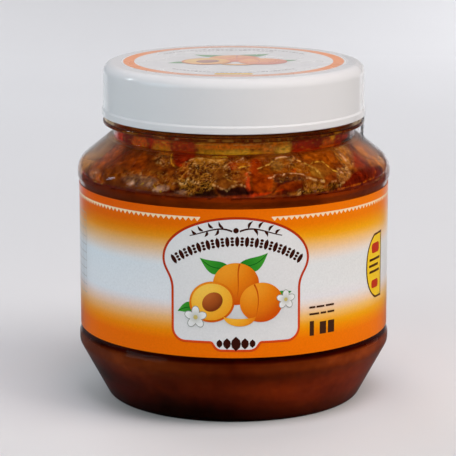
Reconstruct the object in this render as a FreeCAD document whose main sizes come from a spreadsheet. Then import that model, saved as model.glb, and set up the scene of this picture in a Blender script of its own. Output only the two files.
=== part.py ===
import FreeCAD
import Part

import math
import os

import Sketcher
from FreeCAD import Placement, Rotation, Vector

# Wide-necked clear jar of apricot topping with a white screw cap.
# Frame: origin at the centre of the base, +Z up, the front of the label
# faces -Y. Every turned piece shares the Z axis. Millimetres.

doc = FreeCAD.newDocument("ToppingJar")
sheet = doc.addObject("Spreadsheet::Sheet", "Sizes")

SIZES = [
    # jar, outer side, from the base up
    ("foot_radius", 45.6, "where the slanted lower wall would meet the base"),
    ("foot_round", 2.9, "rounding of the base edge"),
    ("belly_radius", 56.45, "ridge below the label panel"),
    ("belly_low", 20.2, "height where the slanted wall meets the ridge"),
    ("belly_high", 23.2, "height where the ridge ends"),
    ("belly_round", 4.0, "rounding below the ridge"),
    ("panel_radius", 55.8, "recessed label panel"),
    ("panel_low", 25.2, "lower end of the panel"),
    ("panel_high", 79.2, "upper end of the panel"),
    ("panel_round", 2.0, "rounding of the panel's ends"),
    ("brow_radius", 56.5, "bulge above the label panel"),
    ("brow_low", 81.2, "lower end of the bulge"),
    ("brow_high", 86.1, "where the bulge meets the sloping shoulder"),
    ("brow_round", 7.0, "rounding between the bulge and the shoulder"),
    ("shelf_radius", 45.6, "inner end of the sloping shoulder"),
    ("shelf_height", 94.9, "height there"),
    ("shelf_round", 1.5, "rounding there"),
    ("neck_radius", 43.4, "neck"),
    ("neck_low", 95.5, "foot of the neck"),
    ("neck_round", 0.6, "rounding in the neck's corners"),
    ("bead_radius", 47.2, "bead under the cap"),
    ("bead_low", 99.9, "underside of the bead"),
    ("bead_high", 101.4, "top of the bead"),
    ("bead_round", 0.6, "rounding of the bead"),
    ("rim_height", 120.1, "top of the jar's rim, under the cap"),
    # jar, inner side
    ("wall", 1.2, "wall thickness"),
    ("wall_slant", 1.362, "the same wall measured across the slanted lower part"),
    ("floor_height", 1.2, "thickness of the jar's floor"),
    ("floor_radius", 44.88, "inner corner of the floor"),
    ("floor_round", 2.0, "rounding there"),
    ("inner_belly_low", 20.5, "inner corner below the ridge"),
    ("inner_brow_high", 85.52, "inner corner between bulge and shoulder"),
    ("inner_brow_round", 5.8, "rounding there"),
    ("inner_neck_low", 94.3, "inner corner below the neck"),
    ("inner_shelf_radius", 44.55, "inner corner of the shoulder's end"),
    ("inner_shelf_height", 93.98, "height there"),
    # contents
    ("fill_height", 82.6, "level of the topping"),
    # cap
    ("cap_low", 102.8, "lower edge of the cap's skirt"),
    ("cap_lip_radius", 47.45, "band along the lower edge of the skirt"),
    ("cap_lip_high", 105.1, "top of that band"),
    ("cap_step_high", 105.7, "top of the slope above the band"),
    ("cap_radius", 47.0, "skirt of the cap"),
    ("cap_top", 121.7, "top of the cap"),
    ("cap_round", 3.5, "rounding of the cap's top edge"),
    ("cap_inner_radius", 45.5, "inside of the skirt"),
    # prints and film
    ("label_low", 26.4, "lower edge of the wrap label"),
    ("label_high", 78.6, "upper edge of the wrap label"),
    ("skin", 0.2, "thickness of the labels and of the seal strip"),
    ("sticker_radius", 40.3, "round sticker on the cap"),
    ("seal_inner_radius", 41.0, "upper end of the seal strip on the cap"),
    ("seal_low", 82.3, "lower end of the seal strip on the shoulder"),
    ("seal_landing", 93.42, "where the strip comes down onto the shoulder"),
    ("seal_bend", 0.096, "rise of the strip's outer corners on the slope"),
    ("seal_angle", 34.0, "angle the strip covers around the axis"),
    ("seal_turn", -2.0, "turn of the strip's middle from +X"),
]
size = {}
for row, (name, value, note) in enumerate(SIZES, start=1):
    sheet.set("A%d" % row, note)
    sheet.set("B%d" % row, "%g" % value)
    sheet.setAlias("B%d" % row, name)
    size[name] = value
doc.recompute()


class Dim:
    """A length with its value and the expression that binds it to the sheet."""

    def __init__(self, value, text):
        self.value = value
        self.text = text

    def __add__(self, other):
        return Dim(self.value + other.value, "(%s + %s)" % (self.text, other.text))

    def __sub__(self, other):
        return Dim(self.value - other.value, "(%s - %s)" % (self.text, other.text))


def dim(name):
    return Dim(size[name], "Sizes." + name)


AXIS = None  # a corner on the Z axis
BASE = None  # a corner at height zero


def origin_plane(body, role):
    for feature in body.Origin.OriginFeatures:
        if feature.Role == role:
            return feature
    raise RuntimeError("no plane " + role)


def profile(body, name, corners):
    """A closed outline in the body's XZ plane. Each corner is (radius, height,
    rounding); radius None lies on the Z axis, height None on the base plane."""
    sketch = body.newObject("Sketcher::SketchObject", name)
    sketch.AttachmentSupport = [(origin_plane(body, "XZ_Plane"), "")]
    sketch.MapMode = "FlatFace"
    count = len(corners)
    points = [
        Vector(r.value if r else 0.0, z.value if z else 0.0, 0) for r, z, _ in corners
    ]
    # how much of each side a corner's rounding takes away
    cut = []
    for i in range(count):
        rounding = corners[i][2]
        before = (points[i - 1] - points[i]).normalize()
        after = (points[(i + 1) % count] - points[i]).normalize()
        angle = before.getAngle(after)
        cut.append(rounding.value / math.tan(angle / 2) if rounding else 0.0)
    lines = []
    for i in range(count):
        j = (i + 1) % count
        along = (points[j] - points[i]).normalize()
        start = points[i] + along * cut[i]
        end = points[j] - along * cut[j]
        lines.append(sketch.addGeometry(Part.LineSegment(start, end), False))
    dimensions = []

    def fix(geo, vertex, radius, height):
        if radius is None:
            sketch.addConstraint(Sketcher.Constraint("PointOnObject", geo, vertex, -2))
        else:
            c = sketch.addConstraint(
                Sketcher.Constraint("DistanceX", -1, 1, geo, vertex, radius.value)
            )
            dimensions.append((c, radius))
        if height is None:
            sketch.addConstraint(Sketcher.Constraint("PointOnObject", geo, vertex, -1))
        else:
            c = sketch.addConstraint(
                Sketcher.Constraint("DistanceY", -1, 1, geo, vertex, height.value)
            )
            dimensions.append((c, height))

    for i in range(count):
        radius, height, rounding = corners[i]
        into, out = lines[i - 1], lines[i]
        if rounding is None:
            sketch.addConstraint(Sketcher.Constraint("Coincident", into, 2, out, 1))
            fix(out, 1, radius, height)
            continue
        before = (points[i - 1] - points[i]).normalize()
        after = (points[(i + 1) % count] - points[i]).normalize()
        half = before.getAngle(after) / 2
        middle = (before + after).normalize()
        centre = points[i] + middle * (rounding.value / math.sin(half))
        first = points[i] + before * cut[i]
        last = points[i] + after * cut[i]
        a = math.atan2(first.y - centre.y, first.x - centre.x)
        b = math.atan2(last.y - centre.y, last.x - centre.x)
        turn = before.x * after.y - before.y * after.x
        circle = Part.Circle(centre, Vector(0, 0, 1), rounding.value)
        if turn < 0:  # a left turn: the arc runs from first to last
            arc = sketch.addGeometry(Part.ArcOfCircle(circle, a, b), False)
            starts, ends = 1, 2
        else:
            arc = sketch.addGeometry(Part.ArcOfCircle(circle, b, a), False)
            starts, ends = 2, 1
        sketch.addConstraint(Sketcher.Constraint("Tangent", into, 2, arc, starts))
        sketch.addConstraint(Sketcher.Constraint("Tangent", arc, ends, out, 1))
        c = sketch.addConstraint(Sketcher.Constraint("Radius", arc, rounding.value))
        dimensions.append((c, rounding))
        corner = sketch.addGeometry(Part.Point(points[i]), True)
        sketch.addConstraint(Sketcher.Constraint("PointOnObject", corner, 1, into))
        sketch.addConstraint(Sketcher.Constraint("PointOnObject", corner, 1, out))
        fix(corner, 1, radius, height)
    for index, length in dimensions:
        sketch.setExpression("Constraints[%d]" % index, length.text)
    sketch.Visibility = False
    return sketch


def new_body(label):
    body = doc.addObject("PartDesign::Body", label)
    body.Label = label
    return body


def revolve(body, sketch, kind="PartDesign::Revolution", angle=None):
    feature = body.newObject(kind, sketch.Name + "_turn")
    feature.Profile = (sketch, [""])
    feature.ReferenceAxis = (sketch, ["V_Axis"])
    if angle is None:
        feature.Angle = 360.0
    else:
        feature.Angle = angle.value
        feature.setExpression("Angle", angle.text)
        feature.Midplane = True
    body.Tip = feature
    return feature


D = dim
wall = D("wall")

# ---- jar: slanted lower wall, ridge, recessed label panel, bulge, sloping
# shoulder, short neck with a bead, plain rim inside the cap
jar = new_body("jar")
outer = profile(
    jar,
    "jar_outside",
    [
        (AXIS, BASE, None),
        (D("foot_radius"), BASE, D("foot_round")),
        (D("belly_radius"), D("belly_low"), D("belly_round")),
        (D("belly_radius"), D("belly_high"), D("panel_round")),
        (D("panel_radius"), D("panel_low"), D("panel_round")),
        (D("panel_radius"), D("panel_high"), D("panel_round")),
        (D("brow_radius"), D("brow_low"), D("panel_round")),
        (D("brow_radius"), D("brow_high"), D("brow_round")),
        (D("shelf_radius"), D("shelf_height"), D("shelf_round")),
        (D("neck_radius"), D("neck_low"), D("neck_round")),
        (D("neck_radius"), D("bead_low"), D("neck_round")),
        (D("bead_radius"), D("bead_low"), D("bead_round")),
        (D("bead_radius"), D("bead_high"), D("bead_round")),
        (D("neck_radius"), D("bead_high"), D("neck_round")),
        (D("neck_radius"), D("rim_height"), None),
        (AXIS, D("rim_height"), None),
    ],
)
revolve(jar, outer)


def inner_wall():
    """The corners of the inside, from the floor up to the bulge."""
    return [
        (AXIS, D("floor_height"), None),
        (D("floor_radius"), D("floor_height"), D("floor_round")),
        (D("belly_radius") - wall, D("inner_belly_low"), D("belly_round")),
        (D("belly_radius") - wall, D("belly_high"), D("panel_round")),
        (D("panel_radius") - wall, D("panel_low"), D("panel_round")),
        (D("panel_radius") - wall, D("panel_high"), D("panel_round")),
        (D("brow_radius") - wall, D("brow_low") - Dim(0.2, "0.2"), Dim(1.2, "1.2")),
    ]


doc.recompute()
inside = profile(
    jar,
    "jar_inside",
    inner_wall()
    + [
        (D("brow_radius") - wall, D("inner_brow_high"), D("inner_brow_round")),
        (D("inner_shelf_radius"), D("inner_shelf_height"), D("shelf_round")),
        (D("neck_radius") - wall, D("inner_neck_low"), D("neck_round")),
        (D("neck_radius") - wall, D("rim_height"), None),
        (AXIS, D("rim_height"), None),
    ],
)
solid_volume = jar.Shape.Volume
revolve(jar, inside, "PartDesign::Groove")
doc.recompute()
print("jar before and after hollowing", round(solid_volume), round(jar.Shape.Volume))

# ---- topping: fills the jar up to its level
topping = new_body("topping")
revolve(
    topping,
    profile(
        topping,
        "topping_outline",
        inner_wall()
        + [
            (D("brow_radius") - wall, D("fill_height"), None),
            (AXIS, D("fill_height"), None),
        ],
    ),
)

# ---- lid: white cap that rests on the rim, with a raised band along its skirt
lid = new_body("lid")
cap = profile(
    lid,
    "lid_outline",
    [
        (AXIS, D("rim_height"), None),
        (D("cap_inner_radius"), D("rim_height"), D("neck_round")),
        (D("cap_inner_radius"), D("cap_low"), None),
        (D("cap_lip_radius"), D("cap_low"), Dim(0.3, "0.3")),
        (D("cap_lip_radius"), D("cap_lip_high"), Dim(0.3, "0.3")),
        (D("cap_radius"), D("cap_step_high"), Dim(0.3, "0.3")),
        (D("cap_radius"), D("cap_top"), D("cap_round")),
        (AXIS, D("cap_top"), None),
    ],
)
revolve(lid, cap)

# ---- wrap label in the recessed panel
label = new_body("wrap_label")
revolve(
    label,
    profile(
        label,
        "label_section",
        [
            (D("panel_radius"), D("label_low"), None),
            (D("panel_radius") + D("skin"), D("label_low"), None),
            (D("panel_radius") + D("skin"), D("label_high"), None),
            (D("panel_radius"), D("label_high"), None),
        ],
    ),
)

# ---- round sticker on the cap
sticker = new_body("lid_sticker")
disc = sticker.newObject("Sketcher::SketchObject", "sticker_outline")
disc.AttachmentSupport = [(origin_plane(sticker, "XY_Plane"), "")]
disc.MapMode = "FlatFace"
disc.AttachmentOffset = Placement(Vector(0, 0, size["cap_top"]), Rotation())
disc.setExpression("AttachmentOffset.Base.z", "Sizes.cap_top")
round_edge = disc.addGeometry(
    Part.Circle(Vector(0, 0, 0), Vector(0, 0, 1), size["sticker_radius"]), False
)
disc.addConstraint(Sketcher.Constraint("Coincident", round_edge, 3, -1, 1))
c = disc.addConstraint(Sketcher.Constraint("Radius", round_edge, size["sticker_radius"]))
disc.setExpression("Constraints[%d]" % c, "Sizes.sticker_radius")
pad = sticker.newObject("PartDesign::Pad", "sticker_pad")
pad.Profile = (disc, [""])
pad.Length = size["skin"]
pad.setExpression("Length", "Sizes.skin")
sticker.Tip = pad

# ---- clear seal strip: from the cap's top over its edge, straight across the
# recess at the neck and down over the shoulder
seal = new_body("seal_strip")
skin = D("skin")
bend = D("seal_bend")
strip = profile(
    seal,
    "seal_section",
    [
        (D("seal_inner_radius"), D("cap_top"), None),
        (D("cap_radius"), D("cap_top"), D("cap_round")),
        (D("cap_radius"), D("cap_step_high"), Dim(0.3, "0.3")),
        (D("cap_lip_radius"), D("cap_lip_high"), Dim(0.3, "0.3")),
        (D("cap_lip_radius"), D("seal_landing"), None),
        (D("brow_radius"), D("brow_high"), D("brow_round")),
        (D("brow_radius"), D("seal_low"), None),
        (D("brow_radius") + skin, D("seal_low"), None),
        (D("brow_radius") + skin, D("brow_high") + bend, D("brow_round") + skin),
        (D("cap_lip_radius") + skin, D("seal_landing") + bend, None),
        (D("cap_lip_radius") + skin, D("cap_lip_high") + bend, Dim(0.3, "0.3")),
        (D("cap_radius") + skin, D("cap_step_high") + bend, Dim(0.3, "0.3")),
        (D("cap_radius") + skin, D("cap_top") + skin, D("cap_round") + skin),
        (D("seal_inner_radius"), D("cap_top") + skin, None),
    ],
)
revolve(seal, strip, angle=D("seal_angle"))
seal.Placement = Placement(Vector(0, 0, 0), Rotation(Vector(0, 0, 1), size["seal_turn"]))
seal.setExpression("Placement.Rotation.Angle", "Sizes.seal_turn")

doc.recompute()

bad = [o.Name for o in doc.Objects if "Invalid" in o.State or "Error" in o.State]
if bad:
    raise RuntimeError("failed features: " + ", ".join(bad))
nodes = [jar, topping, lid, label, sticker, seal]
for body in nodes:
    shape = body.Shape
    if shape.isNull() or not shape.isValid() or len(shape.Solids) != 1:
        raise RuntimeError("bad shape: " + body.Label)
    box = shape.BoundBox
    print(
        body.Label,
        "volume %.0f" % shape.Volume,
        "x %.2f..%.2f y %.2f..%.2f z %.2f..%.2f"
        % (box.XMin, box.XMax, box.YMin, box.YMax, box.ZMin, box.ZMax),
    )
for i, first in enumerate(nodes):
    for second in nodes[i + 1 :]:
        shared = first.Shape.common(second.Shape).Volume
        if shared > 0.5:
            print("overlap", first.Label, second.Label, round(shared, 2))

os.makedirs("parts", exist_ok=True)
for body in nodes:
    body.Shape.exportStep("parts/%s.step" % body.Label)
print("written", len(nodes))
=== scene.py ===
import math

import bpy
import numpy as np
from mathutils import Matrix, Vector
from mathutils.geometry import delaunay_2d_cdt


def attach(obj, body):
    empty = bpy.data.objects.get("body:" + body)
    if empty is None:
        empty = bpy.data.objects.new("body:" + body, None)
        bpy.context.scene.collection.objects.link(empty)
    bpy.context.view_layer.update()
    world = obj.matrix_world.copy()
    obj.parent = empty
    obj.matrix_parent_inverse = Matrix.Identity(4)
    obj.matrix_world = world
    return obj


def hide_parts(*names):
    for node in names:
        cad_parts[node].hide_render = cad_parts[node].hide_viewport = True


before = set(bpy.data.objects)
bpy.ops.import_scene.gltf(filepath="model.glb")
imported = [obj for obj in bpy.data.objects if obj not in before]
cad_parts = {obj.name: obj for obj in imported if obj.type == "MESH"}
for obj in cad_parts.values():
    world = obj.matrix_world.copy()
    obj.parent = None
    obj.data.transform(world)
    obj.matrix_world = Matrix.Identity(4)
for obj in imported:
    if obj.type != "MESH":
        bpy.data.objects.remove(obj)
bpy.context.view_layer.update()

MM = 0.001
rng = np.random.RandomState(20)

# ---------------------------------------------------------------- noise
_perm = rng.permutation(256)
PERM = np.concatenate([_perm, _perm, _perm])
GRAD = rng.normal(size=(256, 3))
GRAD /= np.linalg.norm(GRAD, axis=1, keepdims=True)


def gnoise(p):
    """Gradient noise of the points p (n, 3), about -0.7 to 0.7."""
    p = np.asarray(p, float)
    base = np.floor(p).astype(np.int64)
    f = p - base
    base &= 255
    u = f * f * f * (f * (f * 6 - 15) + 10)
    total = np.zeros(len(p))
    for dx in (0, 1):
        wx = u[:, 0] if dx else 1 - u[:, 0]
        for dy in (0, 1):
            wy = u[:, 1] if dy else 1 - u[:, 1]
            for dz in (0, 1):
                wz = u[:, 2] if dz else 1 - u[:, 2]
                h = PERM[PERM[PERM[(base[:, 0] + dx) & 255] + ((base[:, 1] + dy) & 255)] + ((base[:, 2] + dz) & 255)]
                g = GRAD[h]
                d = g[:, 0] * (f[:, 0] - dx) + g[:, 1] * (f[:, 1] - dy) + g[:, 2] * (f[:, 2] - dz)
                total += wx * wy * wz * d
    return total


def fbm(p, octaves=4, gain=0.5, lac=2.03):
    p = np.asarray(p, float)
    out, amp, norm = np.zeros(len(p)), 1.0, 0.0
    for k in range(octaves):
        out += amp * gnoise(p + 17.3 * k)
        norm += amp
        amp *= gain
        p = p * lac
    return out / norm * 1.6


def ridged(p, octaves=4, gain=0.55, lac=2.1):
    p = np.asarray(p, float)
    out, amp, norm = np.zeros(len(p)), 1.0, 0.0
    for k in range(octaves):
        n = 1 - np.abs(gnoise(p + 31.7 * k)) * 2.2
        out += amp * np.clip(n, 0, 1) ** 2
        norm += amp
        amp *= gain
        p = p * lac
    return out / norm


def smooth(a, b, x):
    t = np.clip((np.asarray(x, float) - a) / (b - a), 0, 1)
    return t * t * (3 - 2 * t)


def lin(r, g, b):
    """An sRGB colour, 0 to 255, as linear."""
    c = np.array([r, g, b], float) / 255
    return tuple(np.where(c <= 0.04045, c / 12.92, ((c + 0.055) / 1.055) ** 2.4))


# ---------------------------------------------------------------- profiles
def rounded(corners, fine=1.0, support=0.18):
    """Corners (radius, height, rounding) in mm, joined by lines with arcs at
    the corners. Points are close together in the arcs and beside them."""
    pts = [np.array(c[:2], float) for c in corners]
    out = []
    ends = []
    for i, c in enumerate(corners):
        rr = c[2]
        if rr <= 0 or i in (0, len(corners) - 1):
            ends.append(([pts[i]], 0.0))
            continue
        a = pts[i - 1] - pts[i]
        b = pts[i + 1] - pts[i]
        la, lb = np.linalg.norm(a), np.linalg.norm(b)
        a, b = a / la, b / lb
        half = math.acos(np.clip(np.dot(a, b), -1, 1)) / 2
        cut = rr / math.tan(half)
        mid = (a + b) / np.linalg.norm(a + b)
        centre = pts[i] + mid * (rr / math.sin(half))
        p0, p1 = pts[i] + a * cut, pts[i] + b * cut
        v0, v1 = p0 - centre, p1 - centre
        turn = math.pi - 2 * half
        sign = np.sign(v0[0] * v1[1] - v0[1] * v1[0])
        n = max(3, int(math.ceil(turn / math.radians(9) * fine)))
        arc = []
        for k in range(n + 1):
            t = sign * turn * k / n
            ct, st = math.cos(t), math.sin(t)
            arc.append(centre + np.array([v0[0] * ct - v0[1] * st, v0[0] * st + v0[1] * ct]))
        ends.append((arc, cut))
    for i, (arc, _) in enumerate(ends):
        if out:
            p, q = out[-1], arc[0]
            length = np.linalg.norm(q - p)
            if length > 1e-6:
                d = (q - p) / length
                if length > 4 * support:
                    out.append(p + d * support)
                    n = int(length / (4.0 / fine))
                    for k in range(1, n):
                        out.append(p + d * (support + (length - 2 * support) * k / n))
                    out.append(q - d * support)
        for p in arc:
            if not out or np.linalg.norm(out[-1] - p) > 1e-6:
                out.append(p)
    return np.array(out)


WALL = 1.2
OUTSIDE = [
    (0, 0, 0), (45.6, 0, 2.9), (56.45, 20.2, 4.0), (56.45, 23.2, 2.0), (55.8, 25.2, 2.0),
    (55.8, 79.2, 2.0), (56.5, 81.2, 2.0), (56.5, 86.1, 7.0), (45.6, 94.9, 1.5),
    (43.4, 95.5, 0.6), (43.4, 99.9, 0.6), (47.2, 99.9, 0.6), (47.2, 101.4, 0.6),
    (43.4, 101.4, 0.6), (43.4, 120.1, 0.3),
]
INSIDE = [
    (0, 1.2, 0), (44.88, 1.2, 2.0), (55.25, 20.5, 4.0), (55.25, 23.2, 2.0), (54.6, 25.2, 2.0),
    (54.6, 79.2, 2.0), (55.3, 81.0, 1.2), (55.3, 85.52, 5.8), (44.55, 93.98, 1.5),
    (42.2, 94.3, 0.6), (42.2, 120.1, 0.3),
]


def object_from(name, verts, faces, mat, hides=(), smooth_shade=True):
    mesh = bpy.data.meshes.new(name)
    mesh.from_pydata([tuple(v) for v in np.asarray(verts, float) * MM], [], [tuple(f) for f in faces])
    mesh.validate()
    if smooth_shade:
        mesh.polygons.foreach_set("use_smooth", np.ones(len(mesh.polygons), bool))
    mesh.update()
    obj = bpy.data.objects.new(name, mesh)
    bpy.context.scene.collection.objects.link(obj)
    mesh.materials.append(mat)
    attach(obj, "root")
    if hides:
        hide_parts(*hides)
    return obj


def lathe(prof, seg):
    """Verts (mm) and faces of a profile (r, z) turned round Z. Points on the
    axis close with fans. The profile runs with the solid on its left going up
    outside, so that faces point outwards."""
    verts, rows = [], []
    ang = np.linspace(0, 2 * math.pi, seg, endpoint=False)
    ca, sa = np.cos(ang), np.sin(ang)
    for r, z in prof:
        if r < 1e-9:
            rows.append([len(verts)])
            verts.append((0, 0, z))
        else:
            rows.append(list(range(len(verts), len(verts) + seg)))
            verts.extend(zip(r * ca, r * sa, np.full(seg, z)))
    faces = []
    for a, b in zip(rows[:-1], rows[1:]):
        for k in range(seg):
            m = (k + 1) % seg
            if len(a) == 1 and len(b) == 1:
                break
            if len(a) == 1:
                faces.append((a[0], b[m], b[k]))
            elif len(b) == 1:
                faces.append((a[k], a[m], b[0]))
            else:
                faces.append((a[k], a[m], b[m], b[k]))
    return np.array(verts, float), faces


# ---------------------------------------------------------------- materials
def material(name):
    m = bpy.data.materials.new(name)
    m.use_nodes = True
    t = m.node_tree
    t.nodes.clear()
    out = t.nodes.new("ShaderNodeOutputMaterial")
    p = t.nodes.new("ShaderNodeBsdfPrincipled")
    t.links.new(p.outputs["BSDF"], out.inputs["Surface"])
    return m, t, p, out


def node(t, kind, **values):
    n = t.nodes.new(kind)
    for k, v in values.items():
        if k in n.inputs.keys():
            n.inputs[k].default_value = v
        else:
            setattr(n, k, v)
    return n


def noise_node(t, scale, detail=3.0, rough=0.5, coords=None, distortion=0.0):
    n = node(t, "ShaderNodeTexNoise", Scale=scale, Detail=detail, Roughness=rough, Distortion=distortion)
    if coords is None:
        coords = t.nodes.new("ShaderNodeTexCoord").outputs["Object"]
    t.links.new(coords, n.inputs["Vector"])
    return n


def ramp(t, source, stops, mode="LINEAR"):
    n = t.nodes.new("ShaderNodeValToRGB")
    n.color_ramp.interpolation = mode
    el = n.color_ramp.elements
    while len(el) < len(stops):
        el.new(0.5)
    for e, (pos, col) in zip(el, stops):
        e.position = pos
        e.color = (*col, 1) if len(col) == 3 else col
    t.links.new(source, n.inputs["Fac"])
    return n


def map_range(t, source, a, b, c, d):
    n = node(t, "ShaderNodeMapRange")
    n.inputs["From Min"].default_value = a
    n.inputs["From Max"].default_value = b
    n.inputs["To Min"].default_value = c
    n.inputs["To Max"].default_value = d
    t.links.new(source, n.inputs["Value"])
    return n


def bump(t, p, height, strength, distance):
    b = t.nodes.new("ShaderNodeBump")
    b.inputs["Strength"].default_value = strength
    b.inputs["Distance"].default_value = distance
    t.links.new(height, b.inputs["Height"])
    t.links.new(b.outputs["Normal"], p.inputs["Normal"])
    return b


def mix_colour(t, a, b, fac=None, blend="MIX"):
    n = t.nodes.new("ShaderNodeMix")
    n.data_type = "RGBA"
    n.blend_type = blend
    for s, v in ((n.inputs[6], a), (n.inputs[7], b), (n.inputs[0], fac)):
        if v is None:
            continue
        if isinstance(v, bpy.types.NodeSocket):
            t.links.new(v, s)
        else:
            s.default_value = (*v, 1) if isinstance(v, (tuple, list)) and len(v) == 3 else v
    return n.outputs[2]


def clear_material(name, tint, ior, rough, wave_scale, wave_mm, stain=None, mist=None, bare=0.0):
    """Clear plastic: refracts, and lets lamps through so that what it holds is lit.
    stain: colours along the height, where a thin smear tints it; mist: along the height, how much its
    glancing edges blur what they mirror."""
    m, t, p, out = material(name)
    coords = t.nodes.new("ShaderNodeTexCoord").outputs["Object"]
    sep = t.nodes.new("ShaderNodeSeparateXYZ")
    t.links.new(coords, sep.inputs[0])
    clear = t.nodes.new("ShaderNodeBsdfTransparent")
    if stain:
        h = map_range(t, sep.outputs["Z"], 0.080, 0.120, 0, 1)
        body = ramp(t, h.outputs["Result"], [((z - 80.0) / 40.0, c) for z, c in stain])
        blotch = noise_node(t, 260.0, 3.0, 0.6, coords)
        k = map_range(t, blotch.outputs["Fac"], 0.3, 0.7, 0.55, 1.0)
        tone = mix_colour(t, tint, body.outputs["Color"], k.outputs["Result"])
        t.links.new(tone, p.inputs["Base Color"])
    else:
        p.inputs["Base Color"].default_value = (*tint, 1)
    clear.inputs["Color"].default_value = (*tint, 1)
    if mist:
        lean = map_range(t, sep.outputs["Z"], 0.0785, 0.0795, 0, 1)
        lean_b = map_range(t, sep.outputs["Z"], 0.0855, 0.0885, 1, 0)
        shoulder = t.nodes.new("ShaderNodeMath")
        shoulder.operation = "MULTIPLY"
        t.links.new(lean.outputs["Result"], shoulder.inputs[0])
        t.links.new(lean_b.outputs["Result"], shoulder.inputs[1])
        t.links.new(mix_colour(t, (0.20, 0.17, 0.14), (0.045, 0.03, 0.02), shoulder.outputs["Value"]), p.inputs["Specular Tint"])
    else:
        p.inputs["Specular Tint"].default_value = (0.20, 0.17, 0.14, 1)
    p.inputs["Transmission Weight"].default_value = 1.0
    p.inputs["IOR"].default_value = ior
    p.inputs["Roughness"].default_value = rough
    waves = noise_node(t, wave_scale, 2.0, 0.5, coords)
    bump(t, p, waves.outputs["Fac"], 1.0, wave_mm * MM)
    surface = p.outputs["BSDF"]
    if mist:
        zz = map_range(t, sep.outputs["Z"], 0.078, 0.105, 0, 1)
        band = ramp(t, zz.outputs["Result"], [((z - 78) / 27.0, (k_,) * 3) for z, k_ in mist])
        edge = t.nodes.new("ShaderNodeLayerWeight")
        edge.inputs["Blend"].default_value = 0.5
        glance = ramp(t, edge.outputs["Facing"], [(0.48, (0, 0, 0)), (0.58, (0.15,) * 3), (0.70, (0.47,) * 3), (0.84, (0.80,) * 3), (0.96, (0.95,) * 3)])
        cloud = noise_node(t, 120.0, 3.0, 0.55, coords)
        thick = map_range(t, cloud.outputs["Fac"], 0.3, 0.7, 0.78, 1.0)
        amount = t.nodes.new("ShaderNodeMath")
        amount.operation = "MULTIPLY"
        t.links.new(band.outputs["Color"], amount.inputs[0])
        t.links.new(glance.outputs["Color"], amount.inputs[1])
        amount2 = t.nodes.new("ShaderNodeMath")
        amount2.operation = "MULTIPLY"
        t.links.new(amount.outputs["Value"], amount2.inputs[0])
        t.links.new(thick.outputs["Result"], amount2.inputs[1])
        blur = t.nodes.new("ShaderNodeBsdfGlossy")
        blur.inputs["Color"].default_value = (0.97, 0.93, 0.90, 1)
        blur.inputs["Roughness"].default_value = 0.32
        misty = t.nodes.new("ShaderNodeMixShader")
        t.links.new(amount2.outputs["Value"], misty.inputs["Fac"])
        t.links.new(surface, misty.inputs[1])
        t.links.new(blur.outputs["BSDF"], misty.inputs[2])
        surface = misty.outputs["Shader"]
    if bare:
        thin = t.nodes.new("ShaderNodeMixShader")
        thin.inputs["Fac"].default_value = bare
        t.links.new(surface, thin.inputs[1])
        t.links.new(clear.outputs["BSDF"], thin.inputs[2])
        surface = thin.outputs["Shader"]
    path = t.nodes.new("ShaderNodeLightPath")
    mix = t.nodes.new("ShaderNodeMixShader")
    t.links.new(path.outputs["Is Shadow Ray"], mix.inputs["Fac"])
    t.links.new(surface, mix.inputs[1])
    t.links.new(clear.outputs["BSDF"], mix.inputs[2])
    t.links.new(mix.outputs["Shader"], out.inputs["Surface"])
    return m


clear_wall = clear_material("clear_wall", (0.985, 0.985, 0.975), 1.4, 0.015, 45.0, 0.10,
                            stain=[(94.8, (0.985, 0.985, 0.975)), (96.0, (0.99, 0.94, 0.82)), (99.2, (0.99, 0.92, 0.76)),
                                   (100.2, (0.95, 0.66, 0.30)), (103.0, (0.92, 0.56, 0.20)), (104.0, (0.9, 0.5, 0.16))],
                            mist=[(84.0, 0.0), (85.5, 0.06), (87.5, 0.4), (90.0, 0.95), (94.6, 0.97), (96.0, 0.06), (99.5, 0.06), (101.0, 0.2), (103.0, 0.2)])
clear_film = clear_material("clear_film", (0.985, 0.985, 0.985), 1.15, 0.05, 160.0, 0.05, bare=0.92)


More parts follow.
